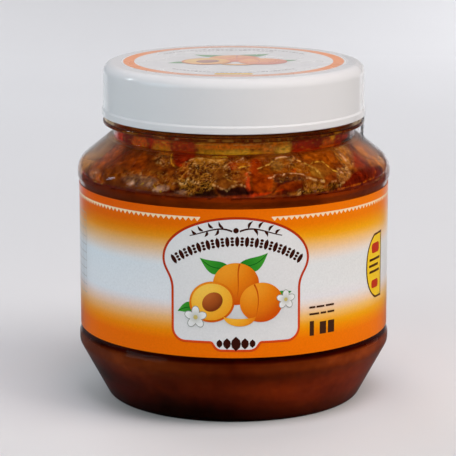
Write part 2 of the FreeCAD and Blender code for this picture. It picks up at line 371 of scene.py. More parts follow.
def topping_material():
    m, t, p, out = material("topping_bulk")
    coords = t.nodes.new("ShaderNodeTexCoord").outputs["Object"]
    sep = t.nodes.new("ShaderNodeSeparateXYZ")
    t.links.new(coords, sep.inputs[0])
    h = map_range(t, sep.outputs["Z"], 0.0, 0.084, 0, 1)
    # darker towards the bottom; the dark band at about 24 to 26.5 mm, just below the label, is painted shade
    base = ramp(t, h.outputs["Result"], [
        (0.0, lin(24, 4, 1)), (0.06, lin(40, 10, 2)), (0.13, lin(70, 20, 5)), (0.20, lin(88, 28, 7)),
        (0.262, lin(98, 38, 12)), (0.280, lin(92, 34, 10)), (0.290, lin(66, 7, 1)), (0.315, lin(62, 6, 1)),
        (0.35, lin(92, 32, 8)), (0.93, lin(138, 54, 5)), (0.955, lin(134, 50, 4)), (0.985, lin(128, 36, 2))])
    big = noise_node(t, 55.0, 3.0, 0.55, coords, distortion=0.6)
    shade = ramp(t, big.outputs["Fac"], [(0.32, (0.66, 0.60, 0.52)), (0.5, (0.95, 0.95, 0.95)), (0.68, (1.25, 1.32, 1.3))])
    both = mix_colour(t, base.outputs["Color"], shade.outputs["Color"], 1.0, "MULTIPLY")
    small = noise_node(t, 420.0, 3.0, 0.6, coords)
    fine = ramp(t, small.outputs["Fac"], [(0.3, (0.90, 0.88, 0.86)), (0.7, (1.10, 1.12, 1.12))])
    both = mix_colour(t, both, fine.outputs["Color"], 1.0, "MULTIPLY")
    # painted light: the lower part is made brighter towards its sides, most on the right, where the lamps light it
    x = map_range(t, sep.outputs["X"], -0.06, 0.06, 0, 1)
    low = ramp(t, x.outputs["Result"], [(0.12, (5.0, 2.2, 1.8)), (0.30, (0.6, 0.5, 0.4)), (0.5, (1.15, 0.6, 0.5)), (0.66, (5.4, 4.0, 2.4)), (0.88, (10.0, 8.5, 7.0))])
    mid = ramp(t, x.outputs["Result"], [(0.12, (1.1, 0.75, 0.5)), (0.30, (1.75, 1.5, 1.0)), (0.5, (2.2, 1.85, 1.1)), (0.66, (4.0, 3.5, 1.9)), (0.88, (4.1, 4.0, 3.2))])
    high = ramp(t, x.outputs["Result"], [(0.10, (1.9, 2.0, 2.0)), (0.28, (1.7, 1.8, 1.4)), (0.5, (0.78, 0.5, 0.3)), (0.72, (2.1, 2.1, 1.6)), (0.90, (2.7, 2.9, 2.8))])
    za = map_range(t, sep.outputs["Z"], 0.005, 0.011, 0, 1)
    zb = map_range(t, sep.outputs["Z"], 0.013, 0.019, 0, 1)
    zc = map_range(t, sep.outputs["Z"], 0.0232, 0.0242, 0, 1)
    painted_side_light = mix_colour(t, low.outputs["Color"], mid.outputs["Color"], za.outputs["Result"])
    painted_side_light = mix_colour(t, painted_side_light, high.outputs["Color"], zb.outputs["Result"])
    painted_side_light = mix_colour(t, painted_side_light, (1.0, 1.0, 1.0), zc.outputs["Result"])
    both = mix_colour(t, both, painted_side_light, 1.0, "MULTIPLY")
    t.links.new(both, p.inputs["Base Color"])
    p.inputs["Roughness"].default_value = 0.5
    p.inputs["Specular IOR Level"].default_value = 0.0
    bump(t, p, big.outputs["Fac"], 0.3, 0.0006)
    return m


def film_material():
    m, t, p, out = material("topping_film")
    att = node(t, "ShaderNodeAttribute")
    att.attribute_name = "film_colour_and_light"
    small = noise_node(t, 1100.0, 3.0, 0.6)
    shade = ramp(t, small.outputs["Fac"], [(0.3, (0.78, 0.75, 0.72)), (0.7, (1.22, 1.25, 1.28))])
    both = mix_colour(t, att.outputs["Color"], shade.outputs["Color"], 1.0, "MULTIPLY")
    t.links.new(both, p.inputs["Base Color"])
    p.inputs["Roughness"].default_value = 0.25
    p.inputs["Specular IOR Level"].default_value = 0.12
    bump(t, p, small.outputs["Fac"], 0.5, 0.0003)
    return m


def cap_material():
    m, t, p, out = material("white_cap")
    big = noise_node(t, 30.0, 2.0, 0.5)
    fine = noise_node(t, 900.0, 3.0, 0.6)
    col = ramp(t, big.outputs["Fac"], [(0.35, (0.795, 0.795, 0.793)), (0.65, (0.81, 0.81, 0.808))])
    t.links.new(col.outputs["Color"], p.inputs["Base Color"])
    r = map_range(t, fine.outputs["Fac"], 0.3, 0.7, 0.17, 0.21)
    t.links.new(r.outputs["Result"], p.inputs["Roughness"])
    p.inputs["Subsurface Weight"].default_value = 0.15
    p.inputs["Subsurface Radius"].default_value = (1.0, 0.95, 0.9)
    p.inputs["Subsurface Scale"].default_value = 0.0012
    bump(t, p, fine.outputs["Fac"], 0.08, 0.00002)
    return m


def print_material(name, colour=None, stops=None, z_range=None, attribute=None, rough=0.36, grain=0.05, coat=0.0, gloss=0.03, haze=False):
    """Printed film: a colour, bands along the height, or colours held by the mesh, with a fine print grain."""
    m, t, p, out = material(name)
    coords = t.nodes.new("ShaderNodeTexCoord").outputs["Object"]
    if stops:
        sep = t.nodes.new("ShaderNodeSeparateXYZ")
        t.links.new(coords, sep.inputs[0])
        h = map_range(t, sep.outputs["Z"], z_range[0] * MM, z_range[1] * MM, 0, 1)
        # the bands blend from the left table to the right one across the jar: painted light, cooler and darker on the
        # left, warmer and brighter on the right
        left, right = (ramp(t, h.outputs["Result"], s_, "LINEAR").outputs["Color"] for s_ in stops)
        side = map_range(t, sep.outputs["X"], -0.045, 0.045, 0, 1)
        base = mix_colour(t, left, right, side.outputs["Result"])
    elif attribute:
        a = node(t, "ShaderNodeAttribute")
        a.attribute_name = attribute
        base = a.outputs["Color"]
    else:
        base = tuple(colour)
    fine = noise_node(t, 1500.0, 2.0, 0.6, coords)
    g = ramp(t, fine.outputs["Fac"], [(0.25, (1 - grain,) * 3), (0.75, (1 + grain,) * 3)])
    both = mix_colour(t, base, g.outputs["Color"], 1.0, "MULTIPLY")
    t.links.new(both, p.inputs["Base Color"])
    soft = noise_node(t, 70.0, 2.0, 0.5, coords)
    r = map_range(t, soft.outputs["Fac"], 0.3, 0.7, rough - 0.05, rough + 0.05)
    t.links.new(r.outputs["Result"], p.inputs["Roughness"])
    p.inputs["Specular IOR Level"].default_value = gloss
    if coat:
        p.inputs["Coat Weight"].default_value = coat
        p.inputs["Coat Roughness"].default_value = 0.12
    bump(t, p, soft.outputs["Fac"], 0.4, 0.0003)
    if haze:
        edge = t.nodes.new("ShaderNodeLayerWeight")
        edge.inputs["Blend"].default_value = 0.5
        glance = ramp(t, edge.outputs["Facing"], [(0.55, (0, 0, 0)), (0.64, (0.03,) * 3), (0.71, (0.09,) * 3), (0.76, (0.15,) * 3),
                                                  (0.82, (0.26,) * 3), (0.91, (0.42,) * 3), (1.0, (0.6,) * 3)])
        blur = t.nodes.new("ShaderNodeBsdfGlossy")
        blur.inputs["Color"].default_value = (1.0, 1.0, 1.0, 1)
        blur.inputs["Roughness"].default_value = 0.3
        mixed = t.nodes.new("ShaderNodeMixShader")
        t.links.new(glance.outputs["Color"], mixed.inputs["Fac"])
        t.links.new(p.outputs["BSDF"], mixed.inputs[1])
        t.links.new(blur.outputs["BSDF"], mixed.inputs[2])
        t.links.new(mixed.outputs["Shader"], out.inputs["Surface"])
    return m


# ---------------------------------------------------------------- jar wall
SEG = 288
out_prof = rounded(OUTSIDE, 1.2)
in_prof = rounded(INSIDE, 1.0)
wall_prof = np.concatenate([out_prof, in_prof[::-1]])
v, f = lathe(wall_prof, SEG)
jar_wall = object_from("jar_wall", v, f, clear_wall, hides=("jar",))

# ---------------------------------------------------------------- topping
topping_mat = topping_material()
film_mat = film_material()
LEVEL = 82.6
INTO = 0.15  # how far the topping reaches into the wall


def offset_profile(prof, d):
    """The profile moved sideways by d, to its right-hand side."""
    p = np.asarray(prof, float)
    t = np.gradient(p, axis=0)
    t /= np.maximum(np.linalg.norm(t, axis=1, keepdims=True), 1e-9)
    n = np.stack([t[:, 1], -t[:, 0]], -1)
    return p + n * d


body_prof = [c for c in INSIDE if c[1] <= 81.0] + [(55.3, LEVEL, 0)]
bulk = rounded(body_prof, 1.2)
shifted = offset_profile(bulk, INTO)
shifted[0] = (0, 1.2 - INTO)
shifted[-1] = (55.3 + INTO, LEVEL)
rows_top = [(55.3 + INTO, LEVEL)]
n_top = 26
top_rows = np.stack([np.linspace(55.3 + INTO, 0, n_top + 1)[1:], np.full(n_top, LEVEL)], -1)
prof = np.concatenate([shifted, top_rows])
seg_b = 256
v, f = lathe(prof, seg_b)
rad = np.hypot(v[:, 0], v[:, 1])
top = v[:, 2] > LEVEL - 0.01
lump = fbm(v / np.array([9.0, 9.0, 9.0]), 4)
edge = smooth(55.6, 50.0, rad)
v[top, 2] += (lump * 1.3)[top] * (0.35 + 0.65 * edge[top]) - 0.25
topping_bulk = object_from("topping_bulk", v, f, topping_mat, hides=("topping",))

# Topping smeared over the inner wall above the level, up into the neck.
film_corners = [(55.3, 81.6, 0)] + [c for c in INSIDE if c[1] > 82][:-1] + [(42.2, 105.0, 0)]
line = rounded(film_corners, 1.0)
step = np.r_[0, np.cumsum(np.linalg.norm(np.diff(line, axis=0), axis=1))]
N_OUT, N_IN = 98, 8
s_out = np.linspace(0, step[-1], N_OUT)
P = np.stack([np.interp(s_out, step, line[:, 0]), np.interp(s_out, step, line[:, 1])], -1)
T = np.gradient(P, axis=0)
T /= np.linalg.norm(T, axis=1, keepdims=True)
Nn = np.stack([T[:, 1], -T[:, 0]], -1)  # outwards, into the wall
front = np.linspace(-95, 95, 580, endpoint=False)
rear = np.linspace(95, 265, 300, endpoint=False)
az = np.radians(np.r_[front, rear])  # 0 faces -Y, + towards +X
N_AZ = len(az)
AZ, SS = np.meshgrid(az, s_out, indexing="ij")
R0 = np.broadcast_to(P[:, 0], AZ.shape)
Z0 = np.broadcast_to(P[:, 1], AZ.shape)
PX = np.stack([R0 * np.sin(AZ), -R0 * np.cos(AZ), Z0], -1).reshape(-1, 3)
fr, fz, fs = R0.ravel(), Z0.ravel(), SS.ravel()
deg = (np.degrees(AZ).ravel() + 180) % 360 - 180

warp = np.stack([fbm(PX / 6 + 3, 3), fbm(PX / 6 + 40, 3), fbm(PX / 6 + 80, 3)], -1)
edge_a = fbm(PX / 2.6 + 5, 4)
edge_b = fbm(PX / 5.5 + 61, 3)
n_big = fbm(PX / 12.0 + warp * 0.6, 3)
n_mid = fbm(PX / 4.2 + warp * 1.2 + 9, 4)
n_small = fbm(PX / 1.5 + warp + 21, 3)
# thin curly lines, where a warped noise crosses zero
q = PX / np.array([2.9, 2.9, 2.3]) + warp * 1.9
curl_a = 1 - np.abs(gnoise(q + 4.4) + 0.35 * gnoise(q * 2.3)) / 0.34
q = PX / np.array([1.7, 1.7, 1.4]) + warp * 2.6
curl_b = 1 - np.abs(gnoise(q + 14.4) + 0.3 * gnoise(q * 2.1)) / 0.30
curls = smooth(0.55, 0.95, np.maximum(curl_a, curl_b * 0.93))
crinkle = ridged(PX / np.array([3.4, 3.4, 2.6]) + warp * 1.2, 4)


def to_s(z):
    return np.interp(z, line[:, 1], step)


def spot(a0, z0, wide, high, turn=0.0, wob=0.35, soft=0.22):
    """1 inside an uneven ellipse at azimuth a0 (degrees) and height z0, half sizes in mm."""
    du = np.radians((deg - a0 + 180) % 360 - 180) * fr
    ds = fs - to_s(z0)
    c_, s_ = math.cos(math.radians(turn)), math.sin(math.radians(turn))
    d = np.hypot((du * c_ + ds * s_) / wide, (ds * c_ - du * s_) / high) + wob * edge_a + wob * 0.6 * edge_b
    return smooth(1 + soft, 1 - soft, d)


def trail(points, wide, wob=0.5, soft=0.6, beads=0.0):
    """1 on a line through (azimuth, height) points, wide mm across."""
    best = np.full(len(PX), 1e9)
    near_z = float(np.mean([p[1] for p in points]))
    rr = float(np.interp(near_z, P[:, 1], P[:, 0]))
    u = np.radians((deg - points[0][0] + 180) % 360 - 180) * rr + wob * n_mid
    w = fs + wob * edge_a
    pp = [((math.radians(p[0] - points[0][0])) * rr, float(to_s(p[1]))) for p in points]
    for (x0, y0), (x1, y1) in zip(pp[:-1], pp[1:]):
        dx, dy = x1 - x0, y1 - y0
        t = np.clip(((u - x0) * dx + (w - y0) * dy) / (dx * dx + dy * dy), 0, 1)
        best = np.minimum(best, np.hypot(u - x0 - t * dx, w - y0 - t * dy))
    half = wide / 2 * (1 + beads * np.clip(n_small * 2.2, -1, 1.6))
    return smooth(1 + soft, 1 - soft, best / np.maximum(half, 0.05))


def look(r, g, b, lit=0.92):
    return np.array(lin(r, g, b)) / lit


BROWN, OLIVE, DARK = look(112, 48, 6), look(128, 76, 18), look(70, 24, 4)
# the next two colours are painted highlights for the creases
GOLD_HIGHLIGHT, PALE_GLINT = look(212, 138, 38), look(238, 188, 112)
# NECK, the gold of the neck panes, is partly painted light shining through the topping
RED, RUST, NECK = look(112, 24, 2), look(140, 50, 4), look(206, 146, 26)

colour = np.tile(BROWN, (len(PX), 1))
loose = np.zeros(len(PX))  # how far the skin stands off the wall


def paint(mask, tint, amount=1.0):
    global colour
    m_ = (mask * amount)[:, None]
    colour = colour * (1 - m_) + np.asarray(tint) * m_


U0, V0 = np.radians(deg) * fr, fs


def patch(points, soft, wob):
    """1 inside an outline of (azimuth, height) corners, which are rounded; soft and wob in mm."""
    pa = np.array(points, float)
    q_ = np.stack([np.radians(pa[:, 0]) * np.interp(pa[:, 1], P[:, 1], P[:, 0]), to_s(pa[:, 1])], -1)
    for _ in range(2):
        n_ = np.roll(q_, -1, 0)
        q_ = np.stack([q_ * 0.75 + n_ * 0.25, q_ * 0.25 + n_ * 0.75], 1).reshape(-1, 2)
    pad = 3 * (soft + wob) + 0.5
    near = (U0 > q_[:, 0].min() - pad) & (U0 < q_[:, 0].max() + pad) & (V0 > q_[:, 1].min() - pad) & (V0 < q_[:, 1].max() + pad)
    u_, v_ = U0[near], V0[near]
    best = np.full(len(u_), 1e9)
    inner = np.zeros(len(u_), bool)
    for (x0, y0), (x1, y1) in zip(q_, np.roll(q_, -1, 0)):
        dx, dy = x1 - x0, y1 - y0
        t = np.clip(((u_ - x0) * dx + (v_ - y0) * dy) / (dx * dx + dy * dy + 1e-12), 0, 1)
        best = np.minimum(best, np.hypot(u_ - x0 - t * dx, v_ - y0 - t * dy))
        if dy != 0:
            inner ^= ((y0 > v_) != (y1 > v_)) & (u_ < dx * (v_ - y0) / dy + x0)
    d = np.where(inner, -best, best) + wob * (edge_a[near] * 1.2 + n_small[near] * 0.9)
    full = np.zeros(len(PX))
    full[near] = smooth(soft, -soft, d)
    return full


# very fine creases; the gold painted on them is painted highlight
q = PX / np.array([1.55, 1.55, 1.35]) + warp * 2.2
fine_a = 1 - np.abs(gnoise(q + 31.4) + 0.3 * gnoise(q * 2.4)) / 0.24
q = PX / np.array([1.0, 1.0, 0.85]) + warp * 3.0
fine_b = 1 - np.abs(gnoise(q + 57.4) + 0.25 * gnoise(q * 2.2)) / 0.26
creases = smooth(0.35, 0.95, np.maximum(fine_a, fine_b * 0.9))
painted_glints = creases * smooth(0.12, 0.5, fbm(PX / 2.1 + warp + 70, 3))
pits = smooth(0.05, 0.55, -fbm(PX / 1.8 + warp * 1.5 + 33, 4))

paint(smooth(-0.1, 0.6, n_mid), OLIVE, 0.5)
paint(smooth(-0.05, 0.55, n_big), RUST, 0.55)
paint(smooth(0.05, 0.7, -n_mid), DARK, 0.45)

# round the back, where nothing is known, the same kinds of marks repeat freely
rear_side = smooth(78, 92, np.abs(deg))
rear_fold = rear_side * smooth(0.02, 0.3, n_big + 0.25 * edge_b) * smooth(95.0, 94.0, fz)
for a0, z0, w_, h_, tint, amount in (
    (118, 89.5, 12, 4, look(150, 60, 6), 0.9), (-120, 90.5, 10, 5, look(128, 56, 6), 0.9), (-165, 87.5, 12, 4, look(150, 66, 8), 0.9),
    (140, 85.5, 10, 4.0, RED, 0.97), (-100, 85.2, 6, 3.0, RED, 0.9), (-141, 93.0, 4, 3, RED, 0.97), (174, 93.5, 5, 2.5, RED, 0.97),
):
    m_ = spot(a0, z0, w_, h_, wob=0.2)
    paint(m_, tint, amount)
    rear_fold = rear_fold * (1 - 0.85 * m_)
# the rear folds: painted shade in the pits, painted gold highlights on the creases
paint(rear_fold * pits, look(56, 22, 6), 0.75)
paint(rear_fold * creases, GOLD_HIGHLIGHT, 0.7)
loose = np.maximum(loose, rear_fold * 0.6)
rear_pit = np.maximum.reduce([spot(104, 84.5, 6, 1.4, wob=0.6), spot(-128, 85.0, 6, 1.6, wob=0.6), spot(158, 84.8, 6, 1.4, wob=0.6)])
paint(rear_pit, look(34, 12, 4), 0.9)
for pts_ in ([(100, 87.5), (108, 89), (118, 88.2), (126, 90)], [(-110, 87.5), (-118, 88.5), (-128, 87.5), (-136, 89)], [(150, 88.5), (162, 87.5), (172, 89.5), (184, 88.5)]):
    paint(trail(pts_, 0.8, beads=0.8), look(206, 160, 84), 0.9)

# the front: smooth fields, creased folds and thin threads.
# FIELDS: outline, colour, amount, softness, unevenness. FOLDS: outline, gold, dark, softness, unevenness.
# THREADS: path, colour, width, amount, beads, unevenness.
FIELDS = (
    (((-72.8, 85.1), (-77.9, 83.2), (-87.1, 84.7), (-94.2, 89.0), (-95.7, 92.8), (-85.2, 96.6), (-72.0, 94.6), (-67.0, 91.7), (-66.5, 88.5)),
      (0.78, 0.315, 0.05), 0.9, 3.2, 0.4),
    (((-66.5, 88.5), (-67.0, 91.7), (-66.8, 94.4), (-56.7, 94.0), (-55.8, 91.2), (-57.2, 88.5), (-61.2, 86.8), (-67.0, 86.0)),
      (0.4534, 0.0748, 0.0007), 0.85, 2.2, 0.6),
    (((-59.7, 88.2), (-59.0, 91.1), (-53.8, 93.0), (-39.8, 94.0), (-29.0, 93.6), (-23.8, 89.3), (-28.1, 87.9), (-40.5, 86.3), (-51.9, 85.0),
      (-59.5, 85.8)), (0.1995, 0.0296, 0.0006), 0.9, 1.0, 0.4),
    (((-49.6, 92.8), (-43.9, 94.1), (-38.6, 91.7), (-36.9, 88.6), (-40.8, 87.9), (-46.6, 90.4)), (0.2609, 0.0396, 0.0013), 0.9, 0.8, 0.5),
    (((-58.7, 87.1), (-55.4, 89.1), (-47.4, 89.1), (-41.3, 87.9), (-41.5, 86.2), (-49.6, 85.0), (-56.2, 85.4)),
      (0.1917, 0.0387, 0.0018), 0.85, 0.8, 0.5),
    (((-39.5, 93.2), (-29.1, 92.4), (-24.2, 89.9), (-25.2, 87.5), (-32.4, 87.6), (-37.6, 90.0)), (0.1419, 0.0269, 0.0021), 0.85, 1.0, 0.6),
    (((-46.9, 86.2), (-34.3, 88.0), (-27.4, 86.8), (-33.6, 84.6), (-42.8, 84.6)), (0.1308, 0.0542, 0.0315), 0.85, 0.8, 0.5),
    (((-25.0, 90.9), (-20.0, 92.9), (-14.0, 93.7), (-3.5, 93.9), (-2.4, 92.5), (-7.2, 91.1), (-7.4, 87.2), (-7.9, 84.9), (-16.7, 82.8),
      (-29.5, 82.6), (-20.7, 84.3), (-23.0, 87.6)), (0.0775, 0.013, 0.0019), 0.95, 0.8, 0.6),
    (((-7.9, 92.4), (-4.0, 92.8), (-1.5, 90.6), (-0.3, 88.3), (2.0, 86.7), (-1.0, 85.6), (-5.0, 85.8), (-7.6, 88.3)),
      (0.1796, 0.0452, 0.0041), 0.95, 0.7, 0.5),
    (((-23.2, 90.2), (-19.8, 91.5), (-17.4, 90.2), (-17.2, 88.2), (-20.1, 87.8)), (0.2649, 0.0443, 0.0015), 0.8, 0.6, 0.6),
    (((-20.3, 93.5), (-14.2, 93.9), (-4.2, 93.9), (-4.0, 92.8), (-11.5, 92.4), (-17.8, 92.4)), (0.5274, 0.1724, 0.0056), 0.6, 0.6, 0.7),
    (((-2.9, 93.1), (0.9, 93.3), (1.6, 91.4), (0.0, 90.3), (-2.4, 91.1)), (0.2007, 0.01, 0.0006), 0.9, 0.6, 0.5),
    (((-0.6, 90.6), (5.9, 91.7), (6.0, 88.9), (4.1, 86.7), (1.4, 86.7), (-1.0, 88.3)), (0.2057, 0.0342, 0.0019), 0.9, 0.6, 0.5),
    (((1.8, 93.8), (8.2, 93.8), (8.4, 92.2), (4.9, 91.4), (1.6, 91.9)), (0.2741, 0.049, 0.0006), 0.85, 0.6, 0.5),
    (((7.3, 93.8), (12.4, 93.5), (10.1, 89.9), (7.4, 88.8), (5.7, 90.0)), (0.264, 0.0243, 0.0006), 0.95, 0.5, 0.4),
    (((6.4, 89.4), (11.7, 89.9), (14.8, 88.1), (14.2, 84.1), (-3.2, 82.6), (7.0, 83.0)), (0.2682, 0.0298, 0.0006), 0.95, 0.7, 0.4),
    (((9.6, 90.5), (14.3, 91.8), (18.5, 93.1), (25.8, 93.3), (29.2, 91.9), (33.2, 89.9), (34.7, 88.0), (29.5, 87.8), (22.8, 89.4), (15.6, 89.5),
      (10.7, 88.8)), (0.2016, 0.0377, 0.0007), 0.92, 0.7, 0.5),
    (((16.4, 92.8), (20.9, 92.9), (21.3, 91.2), (17.8, 89.6), (15.1, 90.9)), (0.2171, 0.0866, 0.0127), 0.8, 0.7, 0.6),
    (((32.7, 90.5), (36.4, 89.6), (37.0, 87.3), (33.1, 87.0), (30.0, 88.9)), (0.3098, 0.1145, 0.0079), 0.9, 0.6, 0.4),
    (((34.3, 91.3), (39.3, 91.2), (40.6, 88.6), (42.0, 87.6), (37.2, 85.5), (35.4, 86.8), (35.1, 89.1)), (0.204, 0.0526, 0.004), 0.85, 0.6, 0.5),
    (((31.1, 94.6), (38.9, 94.8), (48.9, 93.9), (49.1, 92.0), (46.5, 89.9), (41.7, 89.4), (40.0, 91.7), (33.4, 92.2), (29.8, 93.0)),
      (0.2725, 0.0491, 0.0006), 0.92, 0.8, 0.5),
    (((23.5, 90.5), (26.0, 90.4), (24.9, 89.0), (22.8, 89.4)), (0.4575, 0.052, 0.0006), 0.9, 0.4, 0.3),
    (((14.7, 87.3), (21.8, 87.8), (26.9, 86.9), (22.3, 82.9), (2.0, 82.8), (16.2, 82.9)), (0.1684, 0.0179, 0.0006), 0.92, 0.8, 0.5),
    (((15.8, 84.7), (19.1, 84.5), (-11.6, 82.4), (8.3, 82.7)), (0.92, 0.0525, 0.0006), 0.85, 0.5, 0.4),
    (((26.0, 86.4), (32.9, 85.9), (12.5, 82.5), (21.3, 82.5), (10.5, 82.6)), (0.1175, 0.0099, 0.0006), 0.9, 0.8, 0.6),
    (((36.0, 87.3), (41.6, 87.9), (41.7, 86.2), (38.7, 84.7), (35.4, 85.1)), (0.2457, 0.0386, 0.0027), 0.85, 0.6, 0.5),
    (((43.1, 89.0), (49.8, 88.2), (49.0, 86.0), (43.3, 84.8), (40.5, 86.0)), (0.2314, 0.0706, 0.0162), 0.9, 0.6, 0.6),
    (((51.4, 94.2), (62.1, 93.9), (59.8, 90.8), (52.9, 87.8), (48.9, 88.3), (48.2, 90.9)), (0.383, 0.0951, 0.0006), 0.9, 0.6, 0.6),
    (((62.0, 92.1), (64.0, 90.3), (64.2, 86.9), (57.4, 87.3), (52.9, 87.8), (54.9, 90.1)), (0.2422, 0.0189, 0.0006), 0.92, 0.9, 0.4),
    (((79.0, 94.3), (83.3, 92.1), (82.7, 88.6), (75.3, 85.1), (74.4, 84.8), (65.7, 87.3), (65.3, 90.7), (64.3, 92.8)),
      (0.6293, 0.1754, 0.0008), 0.88, 2.2, 0.6),
    (((83.0, 89.2), (81.6, 86.6), (52.9, 83.8), (60.1, 82.5), (74.4, 84.8), (72.5, 87.7)), (0.6, 0.27, 0.06), 0.7, 2.4, 0.4),
    (((70.6, 83.4), (73.4, 85.4), (68.5, 86.7), (57.9, 87.2), (51.1, 87.2), (45.8, 85.1), (32.7, 82.7), (15.5, 82.6), (50.1, 82.7),
      (26.8, 82.5), (50.0, 82.5)), (0.1442, 0.0072, 0.0006), 0.97, 0.45, 0.3),
    (((66.2, 86.3), (72.6, 85.2), (67.7, 83.0), (53.0, 82.4), (32.0, 82.5), (62.9, 84.3)), (0.1407, 0.007, 0.0006), 0.95, 0.5, 0.2),
    (((-29.7, 95.0), (-18.3, 95.8), (-16.9, 93.9), (-18.5, 92.1), (-20.8, 90.9), (-23.7, 91.0), (-26.1, 92.6)),
      (0.2321, 0.0124, 0.0006), 0.97, 0.45, 0.3),
    (((-67.5, 86.2), (-59.0, 86.5), (-54.7, 84.1), (-53.5, 82.8), (-61.3, 82.8), (-67.3, 84.1)), (0.4052, 0.0621, 0.0006), 0.9, 0.5, 0.5),
    (((-59.8, 85.5), (-57.0, 85.6), (-57.4, 84.0), (-60.7, 83.9)), (0.6842, 0.1145, 0.0015), 0.9, 0.35, 0.3),
    (((-72.8, 85.1), (-74.5, 83.0), (-64.7, 82.8), (-52.4, 82.7), (-47.0, 82.6), (-46.9, 82.7), (-52.2, 82.7), (-62.1, 82.7), (-69.8, 83.3)),
      (0.3985, 0.0199, 0.0006), 0.9, 0.6, 0.3),
    (((-47.8, 82.4), (-31.5, 82.8), (-21.2, 83.6), (-19.3, 82.7), (-7.5, 83.1), (-9.3, 83.1), (-37.8, 82.4), (-47.2, 82.6)),
      (0.2718, 0.0565, 0.008), 0.9, 0.5, 0.3),
    (((-7.5, 83.1), (-3.2, 82.6), (19.5, 82.8), (21.0, 82.7), (30.6, 82.8), (28.4, 82.7), (19.5, 82.8), (-9.3, 83.1)),
      (0.3145, 0.064, 0.008), 0.9, 0.5, 0.3),
    (((30.6, 82.8), (26.6, 82.5), (50.2, 82.6), (54.3, 82.4), (41.8, 82.6), (28.4, 82.7)), (0.2015, 0.0101, 0.0006), 0.9, 0.5, 0.3),
    (((-6.7, 85.2), (-3.7, 85.3), (-0.2, 85.6), (2.7, 86.4), (5.0, 85.8), (7.7, 83.4), (0.0, 83.2), (-4.7, 83.2)),
      (0.0188, 0.0035, 0.002), 0.97, 0.4, 0.5),
    (((-12.7, 87.3), (-9.7, 87.6), (-7.3, 86.6), (-6.4, 84.3), (-5.2, 82.8), (-18.0, 82.8), (-12.2, 84.8)), (0.0081, 0.0013, 0.0006), 0.95, 0.5, 0.8),
    (((36.4, 85.0), (40.9, 85.1), (44.0, 84.6), (40.0, 82.9), (30.5, 82.7), (19.5, 82.7)), (0.0275, 0.0017, 0.0006), 0.95, 0.5, 0.7),
    (((14.8, 88.1), (18.2, 88.2), (22.8, 88.2), (27.8, 87.9), (28.5, 86.8), (23.8, 87.1), (18.8, 86.5), (15.8, 85.8)),
      (0.0684, 0.0127, 0.0044), 0.9, 0.5, 0.6),
    (((-20.8, 88.0), (-16.0, 88.0), (-12.9, 85.3), (-17.5, 83.3), (-19.6, 84.4)), (0.0172, 0.0037, 0.0008), 0.7, 0.8, 0.9),
    # the next four pale fields are painted reflections of a lamp on the left shoulder
    (((-41.5, 85.2), (-37.8, 85.7), (-38.3, 84.6), (-41.2, 84.1)), (0.8988, 0.5033, 0.302), 0.6, 0.6, 0.9),
    (((-32.9, 86.0), (-29.9, 86.1), (-30.4, 84.6), (-33.0, 84.5)), (0.4648, 0.2603, 0.1562), 0.6, 0.6, 0.9),
    (((-30.0, 84.6), (-26.8, 85.6), (-23.8, 85.7), (-23.2, 84.5), (-28.4, 83.3), (-30.1, 83.5)), (0.7102, 0.3977, 0.2386), 0.7, 0.6, 0.9),
    (((-20.2, 84.4), (-17.6, 84.8), (-16.1, 83.6), (-22.1, 83.2)), (0.4432, 0.2206, 0.1324), 0.5, 0.5, 0.8),
)
FOLDS = (
    (((-22.7, 88.8), (-22.5, 91.1), (-19.0, 93.2), (-12.2, 94.0), (-2.8, 94.1), (-1.5, 92.5), (-6.6, 91.3), (-6.7, 87.2), (-5.7, 85.5),
      (-17.7, 82.7), (-14.4, 82.8), (-19.9, 83.8)), 0.9, 0.85, 0.8, 0.8),
    (((-38.2, 92.9), (-32.3, 94.2), (-27.1, 92.5), (-26.3, 90.3), (-32.1, 90.5)), 0.55, 0.4, 0.8, 0.8),
    (((-4.2, 93.9), (7.3, 93.8), (7.2, 91.1), (4.9, 87.2), (2.0, 86.2), (-2.5, 87.8), (-4.9, 91.1)), 0.45, 0.3, 0.8, 0.8),
    (((15.6, 93.1), (19.7, 93.8), (26.9, 93.2), (31.4, 91.2), (32.2, 89.1), (26.5, 88.6), (19.5, 89.3), (14.1, 90.3)), 0.5, 0.5, 0.8, 0.8),
    (((26.1, 86.7), (33.4, 86.4), (36.3, 83.8), (32.0, 82.7), (16.2, 82.8), (25.8, 84.1)), 0.7, 0.7, 0.8, 0.8),
    (((52.1, 94.5), (63.4, 94.2), (60.5, 91.3), (53.9, 88.3), (48.6, 88.1), (48.2, 90.9)), 1.0, 0.6, 0.8, 0.8),
    (((35.4, 85.1), (44.7, 85.2), (41.1, 83.0), (3.9, 82.4), (16.2, 82.6)), 0.6, 0.9, 0.8, 0.8),
    (((44.5, 89.2), (50.8, 88.4), (48.6, 86.3), (43.7, 85.1), (40.7, 86.3)), 0.8, 0.6, 0.8, 0.8),
    (((-67.0, 86.0), (-59.4, 86.7), (-56.2, 83.3), (-61.6, 82.7), (-66.8, 83.4)), 0.7, 0.6, 0.8, 0.8),
    (((-47.1, 87.3), (-35.0, 89.7), (-22.7, 88.8), (-20.2, 84.4), (-29.2, 83.3), (-35.3, 83.8), (-42.8, 84.9)), 0.35, 0.35, 0.8, 0.8),
    (((15.1, 88.6), (23.2, 88.8), (29.3, 87.6), (27.4, 86.3), (21.2, 87.0), (15.8, 86.4)), 0.3, 0.9, 0.8, 0.8),
)
